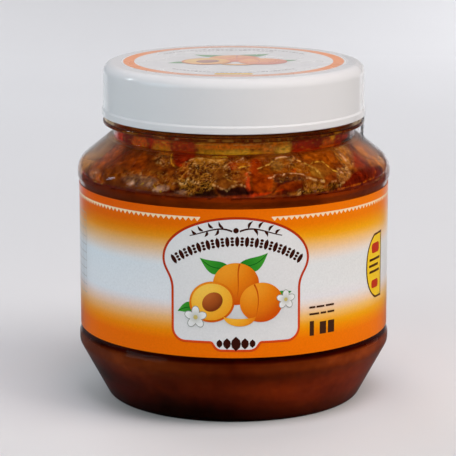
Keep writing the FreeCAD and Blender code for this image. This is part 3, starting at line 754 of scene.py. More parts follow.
THREADS = (
    (((-70.5, 85.4), (-68.5, 84.0), (-62.1, 82.9), (-58.5, 82.7), (-54.3, 82.6), (-45.1, 82.8), (-31.1, 83.0), (-22.9, 83.9)),
      (0.0834, 0.0042, 0.0006), 0.99, 0.9, 0.3, 0.3),
    (((-22.9, 84.2), (-21.0, 83.7), (-14.4, 82.8), (-11.1, 82.8), (6.2, 83.3), (-5.7, 82.8)), (0.0059, 0.0006, 0.0004), 0.54, 0.7, 0.5, 0.3),
    (((-53.0, 87.8), (-55.4, 89.7), (-55.8, 91.5), (-52.7, 93.1), (-46.4, 94.1)), (0.2453, 0.0123, 0.0006), 0.99, 0.56, 0.3, 0.3),
    (((-66.6, 85.7), (-64.4, 84.2), (-62.6, 83.7)), (0.92, 0.4908, 0.249), 0.31, 0.64, 0.6, 0.3),
    (((-62.6, 82.9), (-61.8, 82.8), (-55.1, 83.0)), (0.92, 0.3916, 0.041), 0.31, 0.72, 0.5, 0.3),
    (((-62.4, 85.4), (-59.5, 85.8)), (0.92, 0.5152, 0.3091), 0.43, 0.64, 0.8, 0.3),
    (((-29.4, 94.3), (-28.0, 93.1), (-26.5, 91.7), (-24.3, 90.7), (-23.1, 90.8)), (0.92, 0.3857, 0.0159), 0.34, 0.72, 0.4, 0.3),
    (((-35.7, 92.8), (-32.2, 92.5), (-29.3, 91.5)), (0.92, 0.3604, 0.101), 0.31, 0.56, 0.9, 0.3),
    (((-19.5, 92.9), (-16.1, 93.8), (-11.3, 93.7), (-7.6, 93.0), (-3.5, 93.9)), (0.92, 0.5152, 0.1276), 0.31, 0.64, 0.9, 0.3),
    (((-7.3, 86.6), (-4.7, 85.6), (-2.3, 84.8), (-0.9, 85.9), (2.1, 86.8), (4.1, 86.1)), (0.5968, 0.3342, 0.1097), 0.5, 0.72, 0.9, 0.3),
    (((-3.9, 88.9), (-1.6, 87.8), (1.4, 87.5)), (0.92, 0.4849, 0.0391), 0.31, 0.56, 0.8, 0.3),
    (((2.4, 91.4), (4.5, 91.7), (6.8, 91.9)), (0.92, 0.4907, 0.0286), 0.5, 0.68, 0.7, 0.3),
    (((1.3, 93.1), (4.1, 93.9)), (0.92, 0.5152, 0.233), 0.37, 0.64, 0.8, 0.3),
    (((5.0, 89.4), (5.0, 87.2), (5.3, 85.0), (6.6, 83.0)), (0.6932, 0.0527, 0.0082), 1.35, 0.68, 0.3, 0.3),
    (((9.6, 90.8), (11.9, 91.4), (14.6, 91.9), (17.6, 93.2), (21.5, 93.7), (25.9, 93.4), (28.8, 92.2), (32.7, 90.5)),
      (0.8029, 0.4496, 0.0646), 0.34, 0.68, 0.6, 0.3),
    (((18.2, 93.6), (21.2, 93.8), (26.7, 93.6)), (0.92, 0.5152, 0.3091), 0.37, 0.56, 0.9, 0.3),
    (((32.7, 90.5), (34.3, 89.2), (34.5, 87.8), (34.5, 86.3)), (0.8432, 0.4722, 0.0764), 0.9, 0.68, 0.4, 0.3),
    (((28.4, 87.6), (30.3, 87.0), (34.2, 86.0)), (0.708, 0.3965, 0.1383), 0.56, 0.68, 0.8, 0.3),
    (((31.8, 90.6), (34.7, 91.5), (39.4, 91.3), (40.5, 89.8), (41.2, 88.6), (43.2, 88.0)), (0.92, 0.4993, 0.0385), 0.37, 0.72, 0.4, 0.3),
    (((26.5, 94.0), (26.9, 93.2), (28.8, 92.2)), (0.7886, 0.3376, 0.0845), 0.31, 0.64, 0.5, 0.3),
    (((13.4, 88.1), (14.8, 88.3), (16.9, 89.1), (18.8, 88.8), (20.9, 89.4), (22.7, 89.1), (24.6, 89.1), (27.2, 88.5), (28.4, 87.6)),
      (0.92, 0.5152, 0.2243), 0.43, 0.68, 0.9, 0.3),
    (((37.0, 85.2), (38.7, 85.6), (40.9, 85.7), (42.1, 84.9), (43.8, 84.9)), (0.575, 0.2728, 0.0788), 0.43, 0.68, 0.9, 0.3),
    (((44.1, 88.6), (46.7, 88.6), (49.4, 88.0)), (0.92, 0.5152, 0.1584), 0.37, 0.68, 0.9, 0.3),
    (((44.3, 88.0), (45.9, 87.2), (48.5, 87.3)), (0.92, 0.5152, 0.3091), 0.31, 0.64, 0.9, 0.3),
    (((51.7, 93.9), (55.8, 93.9), (60.4, 94.2)), (0.92, 0.5152, 0.2135), 0.43, 0.68, 0.9, 0.3),
    (((52.9, 93.2), (52.4, 92.0), (52.7, 91.1), (52.5, 90.4)), (0.92, 0.5152, 0.3017), 0.5, 0.64, 0.9, 0.3),
    (((59.8, 93.0), (59.2, 91.5), (56.1, 90.3)), (0.92, 0.4272, 0.0048), 0.43, 0.64, 0.8, 0.3),
    (((50.1, 92.2), (49.9, 90.7), (49.5, 89.2), (49.8, 88.2)), (0.0199, 0.0016, 0.0006), 0.54, 0.85, 0.3, 0.3),
    (((65.1, 85.7), (62.1, 84.0), (35.0, 82.6)), (0.6977, 0.1453, 0.001), 0.43, 0.56, 0.6, 0.3),
    (((13.7, 84.1), (15.2, 85.3), (16.9, 86.5), (19.6, 87.0), (22.5, 87.2)), (0.0542, 0.0033, 0.0006), 0.63, 0.8, 0.4, 0.3),
    (((29.0, 84.7), (30.9, 84.7), (31.8, 83.9), (30.1, 83.2), (29.7, 83.8)), (0.3808, 0.1432, 0.0805), 0.28, 0.48, 0.6, 0.3),
    (((34.4, 84.5), (37.5, 83.8)), (0.4341, 0.0863, 0.0046), 0.9, 0.64, 0.3, 0.3),
    (((66.3, 89.2), (66.5, 88.5)), (0.92, 0.5152, 0.3091), 0.43, 0.48, 0.6, 0.3),
    (((-72.7, 86.9), (-71.1, 88.1), (-69.8, 89.6)), (0.92, 0.5152, 0.3091), 0.31, 0.4, 0.7, 0.3),
    (((-30.3, 85.8), (-29.1, 84.7), (-26.5, 83.6)), (0.92, 0.5027, 0.0149), 0.31, 0.64, 0.8, 0.3),
    (((-35.4, 85.0), (-34.2, 85.7)), (0.92, 0.5152, 0.0088), 0.37, 0.64, 0.8, 0.3),
)
NECK_FIELDS = (
    (((-84.2, 96.3), (-63.4, 99.8), (-65.6, 95.2), (-68.2, 94.5), (-78.2, 94.6)), (0.92, 0.046, 0.0008), 0.95, 0.6, 0.3),
    (((-67.5, 98.4), (-57.2, 98.4), (-55.7, 94.5), (-62.6, 94.2)), (0.303, 0.0151, 0.0006), 0.97, 0.5, 0.3),
    (((-57.2, 98.4), (-44.1, 99.2), (-43.9, 94.6), (-54.8, 94.3)), (0.92, 0.1215, 0.0012), 0.95, 0.6, 0.6),
    (((-44.6, 99.5), (-40.2, 99.5), (-39.2, 94.3), (-43.1, 94.4)), (0.6961, 0.0348, 0.0009), 0.95, 0.5, 0.4),
    (((-40.2, 99.5), (-31.1, 99.5), (-30.3, 97.1), (-30.8, 94.6), (-40.4, 94.5)), (0.8537, 0.1119, 0.0015), 0.95, 0.5, 0.5),
    (((-42.1, 96.5), (-37.3, 97.3), (-31.5, 97.0), (-30.8, 94.6), (-36.0, 94.4), (-41.0, 94.5)), (0.92, 0.2901, 0.0011), 0.95, 0.35, 0.5),
    (((-31.1, 99.5), (-18.6, 99.4), (-17.5, 96.3), (-18.2, 94.3), (-29.4, 94.3)), (0.5835, 0.0459, 0.0009), 0.97, 0.5, 0.3),
    (((-17.6, 99.5), (14.2, 99.2), (14.1, 96.5), (-18.0, 96.3)), (0.9114, 0.1962, 0.0014), 0.95, 0.4, 0.4),
    (((-16.0, 99.6), (-13.2, 99.7), (-13.6, 96.5), (-17.0, 96.3)), (0.92, 0.2572, 0.0019), 0.8, 0.5, 0.5),
    (((-17.5, 96.5), (14.1, 96.7), (13.9, 94.3), (-17.8, 94.3)), (0.92, 0.4057, 0.0145), 0.97, 0.3, 0.25),
    (((-4.6, 96.7), (6.3, 96.7), (6.6, 94.6), (-4.3, 94.6)), (0.92, 0.4972, 0.0312), 0.8, 0.4, 0.5),
    (((13.6, 98.0), (19.7, 97.3), (19.2, 94.3), (13.4, 94.5)), (0.7734, 0.248, 0.0189), 0.95, 0.5, 0.4),
    (((19.6, 97.7), (28.5, 98.8), (26.7, 94.2), (19.6, 94.3)), (0.92, 0.4907, 0.0449), 0.95, 0.5, 0.4),
    (((14.2, 99.6), (25.7, 99.5), (27.0, 97.3), (15.1, 97.6)), (0.8077, 0.2104, 0.0011), 0.9, 0.4, 0.4),
    (((28.0, 99.3), (46.1, 98.9), (44.5, 93.7), (31.0, 93.6), (27.4, 94.2)), (0.4261, 0.0213, 0.0006), 0.97, 0.6, 0.3),
    (((39.8, 98.8), (45.5, 98.5), (44.5, 94.7), (39.3, 94.5)), (0.2463, 0.0123, 0.0006), 0.95, 0.8, 0.4),
    (((45.5, 98.9), (56.8, 98.9), (53.8, 94.1), (44.1, 94.1)), (0.607, 0.0895, 0.0008), 0.95, 0.6, 0.6),
    (((52.5, 100.4), (56.3, 100.2), (56.9, 97.2), (52.2, 97.4)), (0.92, 0.4044, 0.0093), 0.9, 0.4, 0.5),
    (((55.4, 99.4), (63.1, 99.0), (60.4, 94.2), (53.8, 94.1)), (0.3769, 0.0188, 0.0006), 0.95, 0.5, 0.4),
    (((63.7, 98.0), (70.1, 97.3), (70.4, 95.6), (63.8, 96.0)), (0.7595, 0.038, 0.0006), 0.85, 0.4, 0.5),
    (((63.8, 96.4), (70.2, 96.8), (86.2, 95.9), (70.2, 93.8), (60.4, 94.2)), (0.0089, 0.0006, 0.0004), 0.97, 0.5, 0.2),
)
NECK_THREADS = (
    (((-18.5, 98.6), (-12.2, 98.6), (-4.6, 98.5)), (0.92, 0.5152, 0.0499), 0.22, 0.64, 0.6, 0.1),
    (((0.1, 98.6), (7.1, 98.5), (14.2, 98.8)), (0.92, 0.5152, 0.1017), 0.25, 0.64, 0.5, 0.1),
    (((14.7, 98.5), (17.7, 97.8), (20.9, 96.6), (23.0, 94.7), (26.3, 95.4)), (0.92, 0.5152, 0.1137), 0.99, 0.68, 0.5, 0.2),
    (((16.8, 99.1), (22.8, 98.8), (27.2, 98.9)), (0.92, 0.5152, 0.0445), 0.37, 0.64, 0.6, 0.2),
    (((-12.8, 97.2), (1.0, 97.3), (14.1, 97.4)), (0.92, 0.3472, 0.0107), 0.31, 0.56, 0.4, 0.1),
    (((-11.2, 96.9), (-11.5, 95.2)), (0.92, 0.2968, 0.0074), 0.22, 0.56, 0.4, 0.1),
    (((3.2, 96.7), (3.7, 95.0)), (0.92, 0.2707, 0.0017), 0.31, 0.64, 0.4, 0.1),
    (((9.8, 96.3), (10.2, 94.6)), (0.92, 0.3052, 0.0073), 0.22, 0.56, 0.4, 0.1),
    (((-39.7, 98.2), (-36.1, 98.3), (-33.3, 97.9)), (0.92, 0.5152, 0.0278), 0.37, 0.64, 0.8, 0.3),
    (((-54.8, 95.8), (-51.3, 95.0)), (0.92, 0.5152, 0.0342), 0.43, 0.56, 0.8, 0.3),
    (((-49.3, 97.6), (-47.3, 95.4)), (0.8868, 0.4824, 0.0031), 0.37, 0.56, 0.8, 0.3),
    (((-29.0, 100.2), (-24.9, 99.8), (-20.2, 99.6)), (0.92, 0.5152, 0.2841), 0.37, 0.64, 0.5, 0.1),
    (((-19.3, 99.6), (-8.5, 100.0), (2.1, 100.2), (14.0, 100.0), (22.7, 99.9), (28.2, 100.0), (34.2, 99.7)),
      (0.92, 0.4836, 0.0835), 0.31, 0.68, 0.5, 0.1),
    (((-67.3, 100.5), (-55.0, 100.0), (-44.9, 99.3)), (0.92, 0.3719, 0.0181), 0.37, 0.64, 0.6, 0.1),
    (((-39.6, 99.6), (-33.1, 100.0)), (0.92, 0.4135, 0.1073), 0.37, 0.64, 0.5, 0.1),
    (((34.2, 99.7), (44.5, 100.0), (54.1, 99.8), (70.0, 100.0)), (0.92, 0.3814, 0.0156), 0.31, 0.56, 0.7, 0.1),
    (((-19.3, 99.0), (2.0, 99.7), (14.2, 99.4), (24.8, 99.3)), (0.92, 0.2933, 0.0096), 0.31, 0.64, 0.3, 0.1),
    (((60.9, 100.4), (72.9, 100.7), (88.9, 101.2)), (0.92, 0.1444, 0.0007), 0.31, 0.56, 0.7, 0.1),
)

for outline_, tint, amount, soft_, wob_ in FIELDS:
    paint(patch(outline_, soft_, wob_), tint, amount)
mottle = np.clip(1 + 1.15 * fbm(PX / 3.0 + 11, 4) + 0.7 * n_small, 0.35, 2.1)[:, None] ** np.array([1.0, 1.25, 1.3])
colour = colour * mottle
# the folds: painted shade in the pits, painted gold highlights on the creases and brighter painted glint spots
for outline_, gold_, dark_, soft_, wob_ in FOLDS:
    m_ = patch(outline_, soft_, wob_)
    paint(m_ * pits, (0.045, 0.010, 0.002), 0.8 * dark_)
    paint(m_ * creases * smooth(-0.45, 0.25, n_small), GOLD_HIGHLIGHT, 0.66 * gold_)
    paint(m_ * painted_glints, PALE_GLINT * 1.1, 0.8 * gold_)
    loose = np.maximum(loose, m_ * (0.25 + 0.3 * max(gold_, dark_)))
broken = 0.12 + 0.88 * smooth(-0.22, 0.2, n_small + 0.5 * edge_a)
for path_, tint, wide_, amount, beads_, wob_ in THREADS:
    paint(trail(path_, wide_, wob=wob_, beads=beads_) * broken, tint, amount)

# the neck: golden panes between dark red runs; the panes' brightness is partly the topping's own amber and partly
# painted light shining through it
neck = smooth(94.2, 94.8, fz)
pane = np.zeros(len(PX))
for a0, a1, k_ in ((84, 96, 0.5), (108, 121, 0.9), (134, 139, 0.7), (150, 171, 0.9), (-178, -160, 0.8), (-147, -126, 0.95), (-108, -96, 0.7)):
    centre, half = (a0 + a1) / 2, (a1 - a0) / 2
    d = np.abs((deg - centre + 180) % 360 - 180) + 2.2 * edge_b + 1.4 * edge_a
    pane = np.maximum(pane, k_ * smooth(half + 1.2, half - 1.2, d))
paint(neck, look(116, 34, 3), 0.96)
paint(neck * smooth(0.0, 0.5, n_mid), look(150, 66, 8), 0.5)
paint(neck * pane, NECK, 0.95)
for outline_, tint, amount, soft_, wob_ in NECK_FIELDS:
    paint(patch(outline_, soft_ * 1.6 + 0.35, wob_ * 2.0) * smooth(94.0, 94.5, fz), tint, amount)
run = fbm(PX / np.array([3.2, 3.2, 0.45]) + warp * 0.4 + 5.1, 3)
paint(neck * smooth(0.14, 0.42, run), look(196, 130, 24), 0.5)
paint(neck * smooth(0.16, 0.44, -run), look(70, 22, 2), 0.45)
grain = smooth(0.0, 0.5, fbm(PX / 1.3 + 17, 3))
paint(neck * grain, colour * 1.45, 0.6)
paint(neck * smooth(0.05, 0.5, -n_small), colour * 0.55, 0.6)
for path_, tint, wide_, amount, beads_, wob_ in NECK_THREADS:
    paint(trail(path_, wide_, wob=wob_, beads=beads_) * broken, tint, amount)
# painted shade: darker towards the top, under the cap's edge
paint(smooth(100.6, 101.4, fz + 0.3 * edge_b), look(110, 40, 6), 0.75)
# painted highlight: a gold line along the bead's edge
paint(trail([(-60, 101.0), (-30, 101.0), (0, 101.0), (40, 101.0)], 0.5, wob=0.2, beads=0.9), look(196, 130, 36), 0.6)
loose = loose * (1 - neck) + neck * 0.05

# wetter and darker just above the level
paint(smooth(83.2, 82.4, fz + 0.35 * edge_b), look(104, 22, 1), 0.6)
loose = loose * smooth(83.0, 84.0, fz)

depth = loose * (0.16 + 0.5 * (1 - crinkle) + 0.55 * pits - 0.30 * creases) - (1 - smooth(0.02, 0.25, loose)) * 0.12
depth = np.clip(depth, -0.12, 2.2).reshape(AZ.shape)

Rd = R0 - depth * Nn[:, 0]
Zd = Z0 - depth * Nn[:, 1]
outer_v = np.stack([Rd * np.sin(AZ), -Rd * np.cos(AZ), Zd], -1)
s_in = np.linspace(step[-1], 0, N_IN)
Pi = np.stack([np.interp(s_in, step, line[:, 0]), np.interp(s_in, step, line[:, 1])], -1)
Ni = np.stack([np.interp(s_in, s_out, Nn[:, 0]), np.interp(s_in, s_out, Nn[:, 1])], -1)
AZi, _ = np.meshgrid(az, s_in, indexing="ij")
Ri = np.broadcast_to(Pi[:, 0] - 3.0 * Ni[:, 0], AZi.shape)
Zi = np.broadcast_to(Pi[:, 1] - 3.0 * Ni[:, 1], AZi.shape)
Ri = Ri + fbm(np.stack([Ri * np.sin(AZi), -Ri * np.cos(AZi), Zi], -1).reshape(-1, 3) / 5.0, 3).reshape(AZi.shape) * 0.7
inner_v = np.stack([Ri * np.sin(AZi), -Ri * np.cos(AZi), Zi], -1)
allv = np.concatenate([outer_v, inner_v], axis=1)
M = N_OUT + N_IN
vcol = np.concatenate([colour.reshape(N_AZ, N_OUT, 3), np.broadcast_to(BROWN, (N_AZ, N_IN, 3))], axis=1).reshape(-1, 3)
idx = np.arange(N_AZ * M).reshape(N_AZ, M)
nxt = np.roll(idx, -1, axis=0)
faces = np.stack([idx, nxt, np.roll(nxt, -1, axis=1), np.roll(idx, -1, axis=1)], -1).reshape(-1, 4)
film = object_from("topping_film", allv.reshape(-1, 3), faces.tolist(), film_mat)
# the film's colours also carry painted highlights, painted reflections and painted shade
attr = film.data.attributes.new("film_colour_and_light", "FLOAT_COLOR", "POINT")
attr.data.foreach_set("color", np.concatenate([vcol, np.ones((len(vcol), 1))], axis=1).astype(np.float32).ravel())

# ---------------------------------------------------------------- cap
cap_mat = cap_material()
cap_corners = [
    (0, 120.1, 0), (45.5, 120.1, 0.6), (45.5, 102.8, 0.25), (47.45, 102.8, 0.45), (47.45, 105.1, 0.35),
    (47.0, 105.7, 0.35), (47.0, 121.7, 3.5), (0, 121.7, 0),
]
cap_prof = rounded(cap_corners, 1.6)
v, f = lathe(cap_prof, SEG)
cap = object_from("screw_cap", v, f, cap_mat, hides=("lid",))

# ---------------------------------------------------------------- label
WHITE_L = (0.80, 0.80, 0.79)
ORANGE_L = (0.83, 0.185, 0.004)


def label_stops_with_side_light():
    """Colours along the height, for the left and the right: the printed bands with painted light, cooler and darker on
    the left, warmer and brighter on the right.
    """
    left = [
        (26.4, (0.921, 0.164, 0.0006)), (32.0, (0.921, 0.162, 0.0004)), (35.0, (0.941, 0.260, 0.0018)), (36.5, (0.945, 0.318, 0.0269)),
        (37.5, (0.931, 0.363, 0.0600)), (40.0, (0.898, 0.503, 0.2280)), (42.5, (0.893, 0.651, 0.5190)), (44.5, (0.851, 0.771, 0.7524)),
        (46.2, (0.823, 0.845, 0.8662)), (50.0, (0.818, 0.845, 0.8673)), (57.8, (0.780, 0.829, 0.8620)), (59.2, (0.803, 0.808, 0.8080)),
        (61.0, (0.825, 0.701, 0.6027)), (63.5, (0.836, 0.549, 0.3140)), (66.0, (0.828, 0.412, 0.1187)), (67.0, (0.850, 0.355, 0.0656)),
        (68.0, (0.845, 0.294, 0.0192)), (70.0, (0.826, 0.212, 0.0009)), (72.5, (0.813, 0.141, 0.0006)), (78.6, (0.850, 0.110, 0.0006)),
    ]
    right = [
        (26.4, (0.951, 0.193, 0.0006)), (32.0, (0.960, 0.202, 0.0004)), (35.0, (0.970, 0.305, 0.0006)), (36.5, (0.964, 0.377, 0.0019)),
        (37.5, (0.979, 0.423, 0.0126)), (40.0, (0.965, 0.567, 0.1500)), (42.5, (0.921, 0.671, 0.4753)), (44.5, (0.879, 0.787, 0.7152)),
        (46.2, (0.841, 0.810, 0.8138)), (50.0, (0.827, 0.836, 0.8231)), (57.8, (0.805, 0.812, 0.7930)), (59.2, (0.828, 0.800, 0.7680)),
        (61.0, (0.892, 0.745, 0.6150)), (63.5, (0.924, 0.608, 0.3174)), (66.0, (0.961, 0.505, 0.0938)), (67.0, (0.965, 0.445, 0.0395)),
        (68.0, (0.950, 0.407, 0.0065)), (70.0, (0.937, 0.319, 0.0006)), (72.5, (0.930, 0.222, 0.0006)), (78.6, (0.918, 0.194, 0.0008)),
    ]
    return [[((z - 26.4) / (78.6 - 26.4), c) for z, c in side] for side in (left, right)]


label_mat = print_material("label_paper", stops=label_stops_with_side_light(), z_range=(26.4, 78.6), rough=0.4, haze=True)
R_LABEL = 56.0
lab = rounded([(55.86, 26.4, 0), (R_LABEL, 26.4, 0.05), (R_LABEL, 78.6, 0.05), (55.86, 78.6, 0)], 1.0, 0.1)
lab = np.concatenate([lab, [(55.86, 78.6 - 0.01)], [(55.86, 26.4 + 0.01)], lab[:1]])
v, f = lathe(lab, 360)
wrap_label = object_from("wrap_label_sheet", v, f, label_mat, hides=("wrap_label",))


def inside(loops, pts):
    """Even-odd test of points against closed loops."""
    pts = np.asarray(pts, float)
    res = np.zeros(len(pts), bool)
    for loop in loops:
        loop = np.asarray(loop, float)
        x0, y0 = loop[:, 0], loop[:, 1]
        x1, y1 = np.roll(x0, -1), np.roll(y0, -1)
        for i in range(len(loop)):
            c = (y0[i] > pts[:, 1]) != (y1[i] > pts[:, 1])
            if abs(y1[i] - y0[i]) < 1e-12:
                continue
            xx = x0[i] + (pts[:, 1] - y0[i]) * (x1[i] - x0[i]) / (y1[i] - y0[i])
            res ^= c & (pts[:, 0] < xx)
    return res


def dense(loop, step_mm):
    out = []
    loop = [np.array(p, float) for p in loop]
    for p, q in zip(loop, loop[1:] + loop[:1]):
        n = max(1, int(math.ceil(np.linalg.norm(q - p) / step_mm)))
        out += [p + (q - p) * k / n for k in range(n)]
    return out


def fill(loops, grid):
    """Triangles that fill closed loops, with inner points about grid apart."""
    loops = [dense(l, grid) for l in loops]
    pts, edges = [], []
    for l in loops:
        s = len(pts)
        pts += [tuple(p) for p in l]
        edges += [(s + i, s + (i + 1) % len(l)) for i in range(len(l))]
    arr = np.array(pts)
    lo, hi = arr.min(0), arr.max(0)
    if (hi - lo).max() > grid * 1.5:
        gx, gy = np.meshgrid(np.arange(lo[0] + grid / 2, hi[0], grid), np.arange(lo[1] + grid / 2, hi[1], grid))
        g = np.stack([gx.ravel(), gy.ravel()], -1)
        g = g[inside(loops, g)]
        if len(g):
            d = np.array([np.min(np.hypot(arr[:, 0] - p[0], arr[:, 1] - p[1])) for p in g])
            pts += [tuple(p) for p in g[d > grid * 0.35]]
    r = delaunay_2d_cdt([Vector(p) for p in pts], edges, [], 0, 1e-7, False)
    vs = np.array([tuple(p) for p in r[0]])
    tris = [f for f in r[2] if len(f) == 3]
    cen = np.array([vs[list(t)].mean(0) for t in tris])
    ok = inside(loops, cen)
    keep = []
    for t, o in zip(tris, ok):
        if o:
            a, b, c3 = vs[t[0]], vs[t[1]], vs[t[2]]
            if (b[0] - a[0]) * (c3[1] - a[1]) - (b[1] - a[1]) * (c3[0] - a[0]) < 0:
                t = (t[0], t[2], t[1])
            keep.append(tuple(t))
    used = sorted({i for t in keep for i in t})
    remap = {u: i for i, u in enumerate(used)}
    return vs[used], [tuple(remap[i] for i in t) for t in keep]


def ribbon(path, width, closed=False, step_mm=0.8):
    """A stroke along a path, as quads."""
    p = [np.array(q, float) for q in path]
    if closed:
        p = dense(p, step_mm)
        p = np.array(p)
        t = np.roll(p, -1, 0) - np.roll(p, 1, 0)
    else:
        q = []
        for a, b in zip(p[:-1], p[1:]):
            n = max(1, int(math.ceil(np.linalg.norm(b - a) / step_mm)))
            q += [a + (b - a) * k / n for k in range(n)]
        q.append(p[-1])
        p = np.array(q)
        t = np.gradient(p, axis=0)
    t /= np.maximum(np.linalg.norm(t, axis=1, keepdims=True), 1e-9)
    n = np.stack([-t[:, 1], t[:, 0]], -1)
    w = np.asarray(width(np.linspace(0, 1, len(p)))) if callable(width) else np.full(len(p), width)
    a, b = p + n * w[:, None] / 2, p - n * w[:, None] / 2
    v = np.concatenate([a, b])
    m = len(p)
    rng_ = range(m) if closed else range(m - 1)
    return v, [(m + i, m + (i + 1) % m, (i + 1) % m, i) for i in rng_]


class Print:
    """Collects printed shapes into one mesh on the label or the sticker."""

    def __init__(self, place):
        self.place, self.v, self.f, self.c, self.n = place, [], [], [], 0

    def add(self, shape, layer, colour):
        v, f = shape
        if len(v) == 0:
            return
        col = colour(np.asarray(v)) if callable(colour) else np.tile(np.asarray(colour, float), (len(v), 1))
        self.v.append(self.place(np.asarray(v, float), layer))
        self.c.append(col)
        self.f += [tuple(i + self.n for i in t) for t in f]
        self.n += len(v)

    def make(self, name, mat):
        o = object_from(name, np.concatenate(self.v), self.f, mat)
        at = o.data.attributes.new("print_colour", "FLOAT_COLOR", "POINT")
        c = np.concatenate(self.c)
        at.data.foreach_set("color", np.concatenate([c, np.ones((len(c), 1))], axis=1).astype(np.float32).ravel())
        return o


def on_label(v, layer):
    r = R_LABEL + 0.02 + 0.012 * layer
    t = v[:, 0] / R_LABEL
    return np.stack([r * np.sin(t), -r * np.cos(t), v[:, 1]], -1)


TOP_STICKER = 121.78


def on_sticker(v, layer):
    return np.stack([v[:, 0], v[:, 1], np.full(len(v), TOP_STICKER + 0.012 + 0.01 * layer)], -1)


def ellipse(cx, cy, rx, ry, turn=0.0, n=64):
    t = np.linspace(0, 2 * math.pi, n, endpoint=False)
    x, y = rx * np.cos(t), ry * np.sin(t)
    ca, sa = math.cos(turn), math.sin(turn)
    return np.stack([cx + x * ca - y * sa, cy + x * sa + y * ca], -1)


def leaf_shape(x0, y0, x1, y1, width, n=28, bend=0.15):
    """A pointed leaf from its stalk to its tip."""
    p, q = np.array([x0, y0], float), np.array([x1, y1], float)
    d = q - p
    nrm = np.array([-d[1], d[0]])
    nrm /= np.linalg.norm(nrm)
    t = np.linspace(0, 1, n)
    mid = p + np.outer(t, d) + np.outer(np.sin(math.pi * t) * bend * np.linalg.norm(d), nrm)
    w = width * np.sin(math.pi * t ** 0.8) * (1 - 0.25 * t)
    return np.concatenate([mid + np.outer(w / 2, nrm), (mid - np.outer(w / 2, nrm))[::-1][1:-1]]), mid


def bezier(pts, n=24):
    pts = [np.array(p, float) for p in pts]
    out = []
    for i in range(0, len(pts) - 1, 3):
        a, b, c3, d = pts[i:i + 4]
        for k in range(n):
            t = k / n
            out.append((1 - t) ** 3 * a + 3 * (1 - t) ** 2 * t * b + 3 * (1 - t) * t * t * c3 + t ** 3 * d)
    out.append(pts[-1])
    return out


def fruit_shade(cx, cy, r, hi, base, lo, light=(-0.35, 0.55)):
    """Colours of a round fruit: brighter towards the light, darker at its rim."""
    hi, base, lo = map(np.array, (hi, base, lo))

    def col(v):
        x, y = (v[:, 0] - cx) / r, (v[:, 1] - cy) / r
        d = x * light[0] + y * light[1]
        rr = np.hypot(x, y)
        t = np.clip(0.5 + 0.75 * d - 0.22 * rr ** 3, 0, 1)[:, None]
        return np.where(t > 0.5, base + (hi - base) * (t - 0.5) * 2, lo + (base - lo) * t * 2)

    return col


